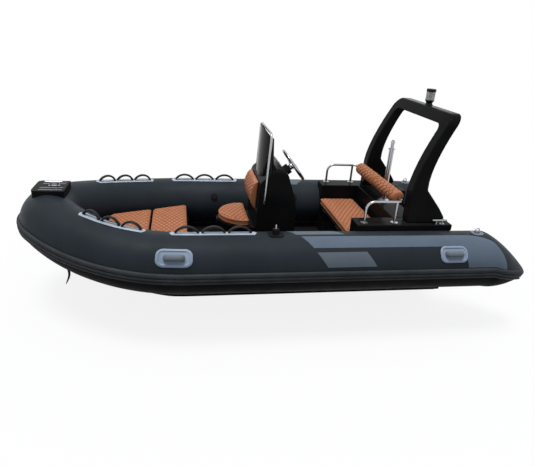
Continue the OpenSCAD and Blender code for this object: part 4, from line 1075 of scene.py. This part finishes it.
LOOP_WIDE, LOOP_THICK, LOOP_FOOT, LOOP_GAP = Vector((0, 0.018, 0)), 0.0105, 0.009, 0.0006
bm = bmesh.new()
for first, pitch, count in LOOP_GROUPS:
    half = pitch * LOOP_SHARE / 2
    radius = (half * half + LOOP_RISE * LOOP_RISE) / (2 * LOOP_RISE)
    spread = asin(half / radius)
    for i in range(count):
        st = station(BOW_START_X + first + pitch * i)
        foot = LOOP_FOOT * cos(spread) + sheer_bend(st.x) * half * half + LOOP_GAP
        centre = Vector((0, 0, PAD_T + foot + LOOP_RISE - radius))
        place = seat(st, LOOP_PHI)
        rings = []
        for a in spaced(-spread, spread, 20):
            out = Vector((sin(a), 0, cos(a)))
            rings.append([place @ p for p in oval(centre + out * radius, LOOP_WIDE, out * LOOP_THICK, 16)])
        loft(bm, rings)
both_sides(bm)
piece("grab_loop_straps", bm, "loop_rubber", stands_for=["grab_loops"], sharp=50)

# %% [markdown]
# ## Carrying handles
# Two rounded plates a side, pale blue-grey, each with a raised rim, a sunk middle and a broad grip across it. The
# plate is inset and raised while it is flat, then rolled on to the tube.

# %% Carrying handles
CARRY_PLACES, CARRY_PHI = (0.943, -1.530), radians(35)
CARRY_LEN, CARRY_H, CARRY_T, CARRY_CORNER = 0.264, 0.152, 0.008, 0.056
GRIP_W, GRIP_D, GRIP_LEN, GRIP_RISE, GRIP_BEND_R, GRIP_FOOT_Z = 0.052, 0.030, 0.180, 0.030, 0.026, 0.002
# Rim, slope and floor of the plate: inset, then rise
CARRY_STEPS = ((0.008, 0.004), (0.010, 0.001), (0.006, -0.007), (0.02, -0.001))


def rounded(s, around, length, width, corner):
    """Outline of a rectangle with round corners, as X and arc."""
    points = []
    for start, x, y in ((0, 1, 1), (90, -1, 1), (180, -1, -1), (270, 1, -1)):
        centre = (s + x * (length / 2 - corner), around + y * (width / 2 - corner))
        points += quarter(centre, corner, corner, start, start + 90, 10)
    return points


def plate_on(bm, outline, thick, steps):
    """A flat plate with inset steps on its top, rolled on to the tube."""
    part = flat([outline])
    raise_flat(part, thick)
    top = max(part.faces, key=lambda f: f.calc_center_median().z)
    for inset, rise in steps:
        bmesh.ops.inset_region(part, faces=[top], thickness=inset, depth=rise, use_even_offset=True)
    strips(part, 0.02, 0.012)
    roll_on(part, SKIN_GAP)
    add_part(bm, part)


def grip_path():
    """The grip bends down into the plate at both ends."""
    end, level = GRIP_LEN / 2 - GRIP_D / 2, CARRY_T + GRIP_RISE
    half = [Vector((-end, 0, GRIP_FOOT_Z)), Vector((-end, 0, level - GRIP_BEND_R))]
    half += [Vector((-end + GRIP_BEND_R * (1 - cos(a)), 0, level - GRIP_BEND_R * (1 - sin(a))))
             for a in spaced(0, pi / 2, 6)[1:]]
    return half + [Vector((-p.x, 0, p.z)) for p in reversed(half)]


plates, grips = bmesh.new(), bmesh.new()
path, across = grip_path(), Vector((0, 1, 0))
for place_s in CARRY_PLACES:
    plate_on(plates, rounded(place_s, CARRY_PHI * TUBE_R, CARRY_LEN, CARRY_H, CARRY_CORNER), CARRY_T, CARRY_STEPS)
    on_skin = seat(station(place_s), CARRY_PHI)
    rings = []
    for i, p in enumerate(path):
        up = (path[min(i + 1, len(path) - 1)] - path[max(i - 1, 0)]).normalized().cross(across)
        rings.append([on_skin @ q for q in oval(p, across * GRIP_W / 2, up * GRIP_D / 2, 20)])
    loft(grips, rings)
both_sides(plates)
both_sides(grips)
piece("carry_handle_plates", plates, "grip_coat", stands_for=["carry_handles"], sharp=45)
piece("carry_handle_grips", grips, "hold_coat", sharp=45)

# %% [markdown]
# ## Fittings on the tubes
# Aft on each tube sits a round patch with a steel ring in its foot, and forward of it the oarlock's pin has a bright
# sleeve.

# %% Stern patches and rings
PATCH_X, PATCH_LEN, PATCH_W, PATCH_T, PATCH_CORNER = -1.865, 0.120, 0.110, 0.005, 0.05
PATCH_EDGE, PATCH_STEP = 0.008, 0.001
FOOT_LEN, FOOT_W, FOOT_H, FOOT_SUNK, FOOT_ROUND = 0.044, 0.040, 0.012, 0.001, 0.004
RING_R, RING_BAR_R = 0.020, 0.005
patch_top = TUBE_Z + TUBE_R + PATCH_T
patch_outline = rounded(PATCH_X, pi / 2 * TUBE_R, PATCH_LEN, PATCH_W, PATCH_CORNER)
foot = bmesh.new()
foot_middle = (PATCH_X, HALF_SPAN, patch_top + FOOT_H / 2 - FOOT_SUNK / 2)
block(foot, (FOOT_LEN, FOOT_W, FOOT_H + FOOT_SUNK), Matrix.Translation(foot_middle))
round_off(foot, foot.edges[:], FOOT_ROUND, 3)
bm = bmesh.new()
plate_on(bm, patch_outline, PATCH_T - PATCH_STEP, ((PATCH_EDGE, PATCH_STEP),))
add_part(bm, foot)
both_sides(bm)
piece("ring_patches", bm, "hold_coat", stands_for=["stern_patches"], sharp=45)
bm = bmesh.new()
ring_middle = (PATCH_X, HALF_SPAN, patch_top + FOOT_H + 2 * RING_BAR_R)
hoop(bm, RING_R, RING_BAR_R, Matrix.Translation(ring_middle) @ Matrix.Rotation(pi / 2, 4, "X"), 40, 12)
both_sides(bm)
piece("stern_rings", bm, "rail_steel")

# %% Oarlock sleeves
OAR_X, OAR_SEAT, OAR_PIN_R, OAR_PIN_LEN = 0.087, 0.810, 0.006, 0.040
COLLAR_R, SLEEVE_R = OAR_PIN_R + 0.0025, OAR_PIN_R + 0.0006
SLEEVE = [(COLLAR_R, 0.0003), (COLLAR_R, 0.004), (SLEEVE_R, 0.006), (SLEEVE_R, OAR_PIN_LEN - 0.002),
          (OAR_PIN_R - 0.001, OAR_PIN_LEN + 0.0004), (0.001, OAR_PIN_LEN + 0.001)]
bm = bmesh.new()
turned(bm, SLEEVE, Matrix.Translation((OAR_X, HALF_SPAN, OAR_SEAT)), 24)
both_sides(bm)
piece("oar_sleeves", bm, "rail_steel")

# %% [markdown]
# ## Bow step treads
# Four grey strips of grip tape lie along the step's top, clear of the cleat.

# %% Treads
TREAD_Y, TREAD_W, TREAD_T, TREAD_AFT, TREAD_FWD = (0.060, 0.118), 0.022, 0.002, 0.024, 0.060
TREAD_SUNK, TREAD_ROUND = 0.0002, 0.0006
step_low, step_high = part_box("bow_step")
near, far = step_low.x + TREAD_AFT, step_high.x - TREAD_FWD
bm = bmesh.new()
for y in TREAD_Y:
    tread_middle = ((near + far) / 2, y, step_high.z + TREAD_T / 2 - TREAD_SUNK)
    block(bm, (far - near, TREAD_W, TREAD_T), Matrix.Translation(tread_middle))
both_sides(bm)
round_off(bm, bm.edges[:], TREAD_ROUND, 2)
piece("step_treads", bm, "hold_coat")

# %% [markdown]
# ## Gauges
# Two round gauges face the helm. Each has a steel bezel, a scale of raised marks and a needle on the CAD disc.

# %% Gauges
DASH_LOW, DASH_TOP = Vector((-0.175, 0, 0.952)), Vector((-0.100, 0, 1.155))
GAUGE_UP, GAUGE_Y, GAUGE_R, GAUGE_H, BEZEL_R = 0.72, 0.205, 0.0425, 0.008, 0.003
MARK_R, MARK_LONG, MARK_SHORT, MARK_W, MARK_H, MARK_STEP = 0.034, 0.008, 0.005, 0.0014, 0.0008, 20
NEEDLE, NEEDLE_OUT, NEEDLE_UP = (0.036, 0.0018, 0.0012), 0.012, 0.0016
PIVOT = [(0.0045, GAUGE_H - 0.001), (0.0045, GAUGE_H + 0.003), (0.003, GAUGE_H + 0.0038)]
dash_lean = atan2(DASH_TOP.x - DASH_LOW.x, DASH_TOP.z - DASH_LOW.z)
dash_point = DASH_LOW + (DASH_TOP - DASH_LOW) * GAUGE_UP
bezels, marks, needles = bmesh.new(), bmesh.new(), bmesh.new()


def on_dial(face, angle, out, up):
    """Frame at an angle and a distance from the middle of a dial."""
    return face @ Matrix.Rotation(radians(angle), 4, "Z") @ Matrix.Translation((out, 0, GAUGE_H + up))


for y, reading in ((-GAUGE_Y, 40), (GAUGE_Y, -65)):
    face = Matrix.Translation((dash_point.x, y, dash_point.z)) @ Matrix.Rotation(dash_lean - pi / 2, 4, "Y")
    hoop(bezels, GAUGE_R - BEZEL_R, BEZEL_R, on_dial(face, 0, 0, 0), 56, 12)
    for i in range(13):
        long = MARK_SHORT if i % 3 else MARK_LONG
        block(marks, (long, MARK_W, MARK_H), on_dial(face, MARK_STEP * (i - 6), MARK_R - long / 2, 0.0003))
    block(needles, NEEDLE, on_dial(face, reading, NEEDLE_OUT, NEEDLE_UP))
    turned(needles, PIVOT, face, 20)
piece("gauge_bezels", bezels, "rail_steel")
piece("gauge_marks", marks, "pad_coat")
piece("gauge_needles", needles, "band_hide")
print("2 gauges at", [round(c, 3) for c in dash_point])

# %% [markdown]
# ## Steering wheel
# A steel rim, three steel spokes and a steel hub. The rim is a circle spun round the shaft; the spokes are
# flattened bars that curve up from the hub to the rim.

# %% Steering wheel
WHEEL_CENTRE, WHEEL_TILT, RIM_R, RIM_D = Vector((-0.214, 0, 1.170)), radians(38), 0.171, 0.028
HUB_R, HUB_LOW, HUB_H = 0.031, -0.040, 0.034
HUB = [(0.020, HUB_LOW), (HUB_R, HUB_LOW), (HUB_R, HUB_LOW + 0.022), (HUB_R - 0.002, HUB_LOW + 0.027),
       (HUB_R - 0.009, HUB_LOW + 0.031), (0.010, HUB_LOW + HUB_H)]
SPOKE_FROM, SPOKE_LOW, SPOKE_CURVE = 0.024, HUB_LOW + 0.014, 1.6
on_shaft = Matrix.Translation(WHEEL_CENTRE) @ Matrix.Rotation(-(pi / 2 - WHEEL_TILT), 4, "Y")
bm = bmesh.new()
hoop(bm, RIM_R, RIM_D / 2, on_shaft)
piece("wheel_rim", bm, "rail_steel", "steering_wheel")

bm = bmesh.new()
for i in range(3):
    place = on_shaft @ Matrix.Rotation(pi / 2 + tau * i / 3, 4, "Z")
    rings = []
    for t in spaced(0, 1, 10):
        middle = Vector((SPOKE_FROM + (RIM_R - SPOKE_FROM) * t, 0, SPOKE_LOW * (1 - t) ** SPOKE_CURVE))
        # Spokes are widest and thickest at the hub
        wide, thick = Vector((0, 0.012 - 0.005 * t, 0)), Vector((0, 0, 0.0045 - 0.001 * t))
        rings.append([place @ p for p in oval(middle, wide, thick, 14)])
    loft(bm, rings)
turned(bm, HUB, on_shaft)
piece("wheel_spokes", bm, "rail_steel", "steering_wheel", stands_for=["steering_wheel"])

# %% [markdown]
# ## Bow strap
# A flat webbing strap is folded through the bow eye and hangs free. The fold is a piece of its own; the tail below it
# is a short cord that sways a little and turns edge-on towards its bare end. The photograph shows its lower part.

# %% Bow strap
EYE_HOLE_X = 2.0516
STRAP_W, STRAP_T, STRAP_HANG, STRAP_STEPS = 0.026, 0.005, 0.228, 30
STRAP_SWAY, SWAY_TURN, STRAP_TWIST, TWIST_FROM = 0.030, radians(200), radians(80), 0.35
# The fold: Y and Z from the eye's hole in millimetres, and the share of the strap's width
STRAP_FOLD = ((-4, -62, 1), (-5, -48, 1), (-9, -34, 0.8), (-10, -22, 0.5), (-10, -12, 0.45), (-9.2, -6, 0.45),
              (-6, -3, 0.45), (0, -2.5, 0.45), (6, -3, 0.45), (9.2, -6, 0.45), (10, -12, 0.45), (10, -22, 0.5),
              (9, -34, 0.8), (5, -48, 1), (4, -62, 1), (4, -80, 1))
eye_hole = Vector((EYE_HOLE_X, 0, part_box("bow_strap")[1].z))


def squared(c):
    """A circle's sine or cosine, pushed out towards a square."""
    return copysign(abs(c) ** 0.55, c)


def strap_ring(points, i, width, turn):
    along = (points[min(i + 1, len(points) - 1)] - points[max(i - 1, 0)]).normalized()
    fore = (Vector((1, 0, 0)) - along * along.x).normalized()
    wide = fore * cos(turn) + along.cross(fore) * sin(turn)
    thick = along.cross(wide)
    return [points[i] + wide * width / 2 * squared(cos(a)) + thick * STRAP_T / 2 * squared(sin(a))
            for a in spaced(0, tau, 16)[:-1]]


def weave(obj):
    """UV map in metres: U across the strap, V down its length."""
    co = points_of(obj)[0]
    corner = np.empty(len(obj.data.loops), np.int32)
    obj.data.loops.foreach_get("vertex_index", corner)
    obj.data.uv_layers.new(name="weave").data.foreach_set("uv", co[corner][:, [0, 2]].ravel())


fold_path = [eye_hole + Vector((0, y, z)) / 1000 for y, z, share in STRAP_FOLD]
bm = bmesh.new()
loft(bm, [strap_ring(fold_path, i, STRAP_W * row[2], 0) for i, row in enumerate(STRAP_FOLD)])
fold = piece("strap_fold", bm, "strap_web", stands_for=["bow_strap"], sharp=60)
weave(fold)

tail_path, twists = [], []
for u in spaced(0, 1, STRAP_STEPS):
    tail_path.append(fold_path[-1] + Vector((-STRAP_SWAY * sin(SWAY_TURN * u), 0, -STRAP_HANG * u)))
    twists.append(STRAP_TWIST * max(0, u - TWIST_FROM) / (1 - TWIST_FROM))
bm = bmesh.new()
loft(bm, [strap_ring(tail_path, i, STRAP_W, twist) for i, twist in enumerate(twists)])
tail = piece("strap_tail", bm, "strap_web", stands_for=["bow_strap"], sharp=60)
weave(tail)

# %% [markdown]
# ## Sizes
# The dressed boat should keep to the CAD model's box. Both boxes are written down, so that they can be compared.

# %% Finish
low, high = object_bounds()
print("size", [round(x, 4) for x in high - low], "CAD", [round(x, 4) for x in cad_high - cad_low])
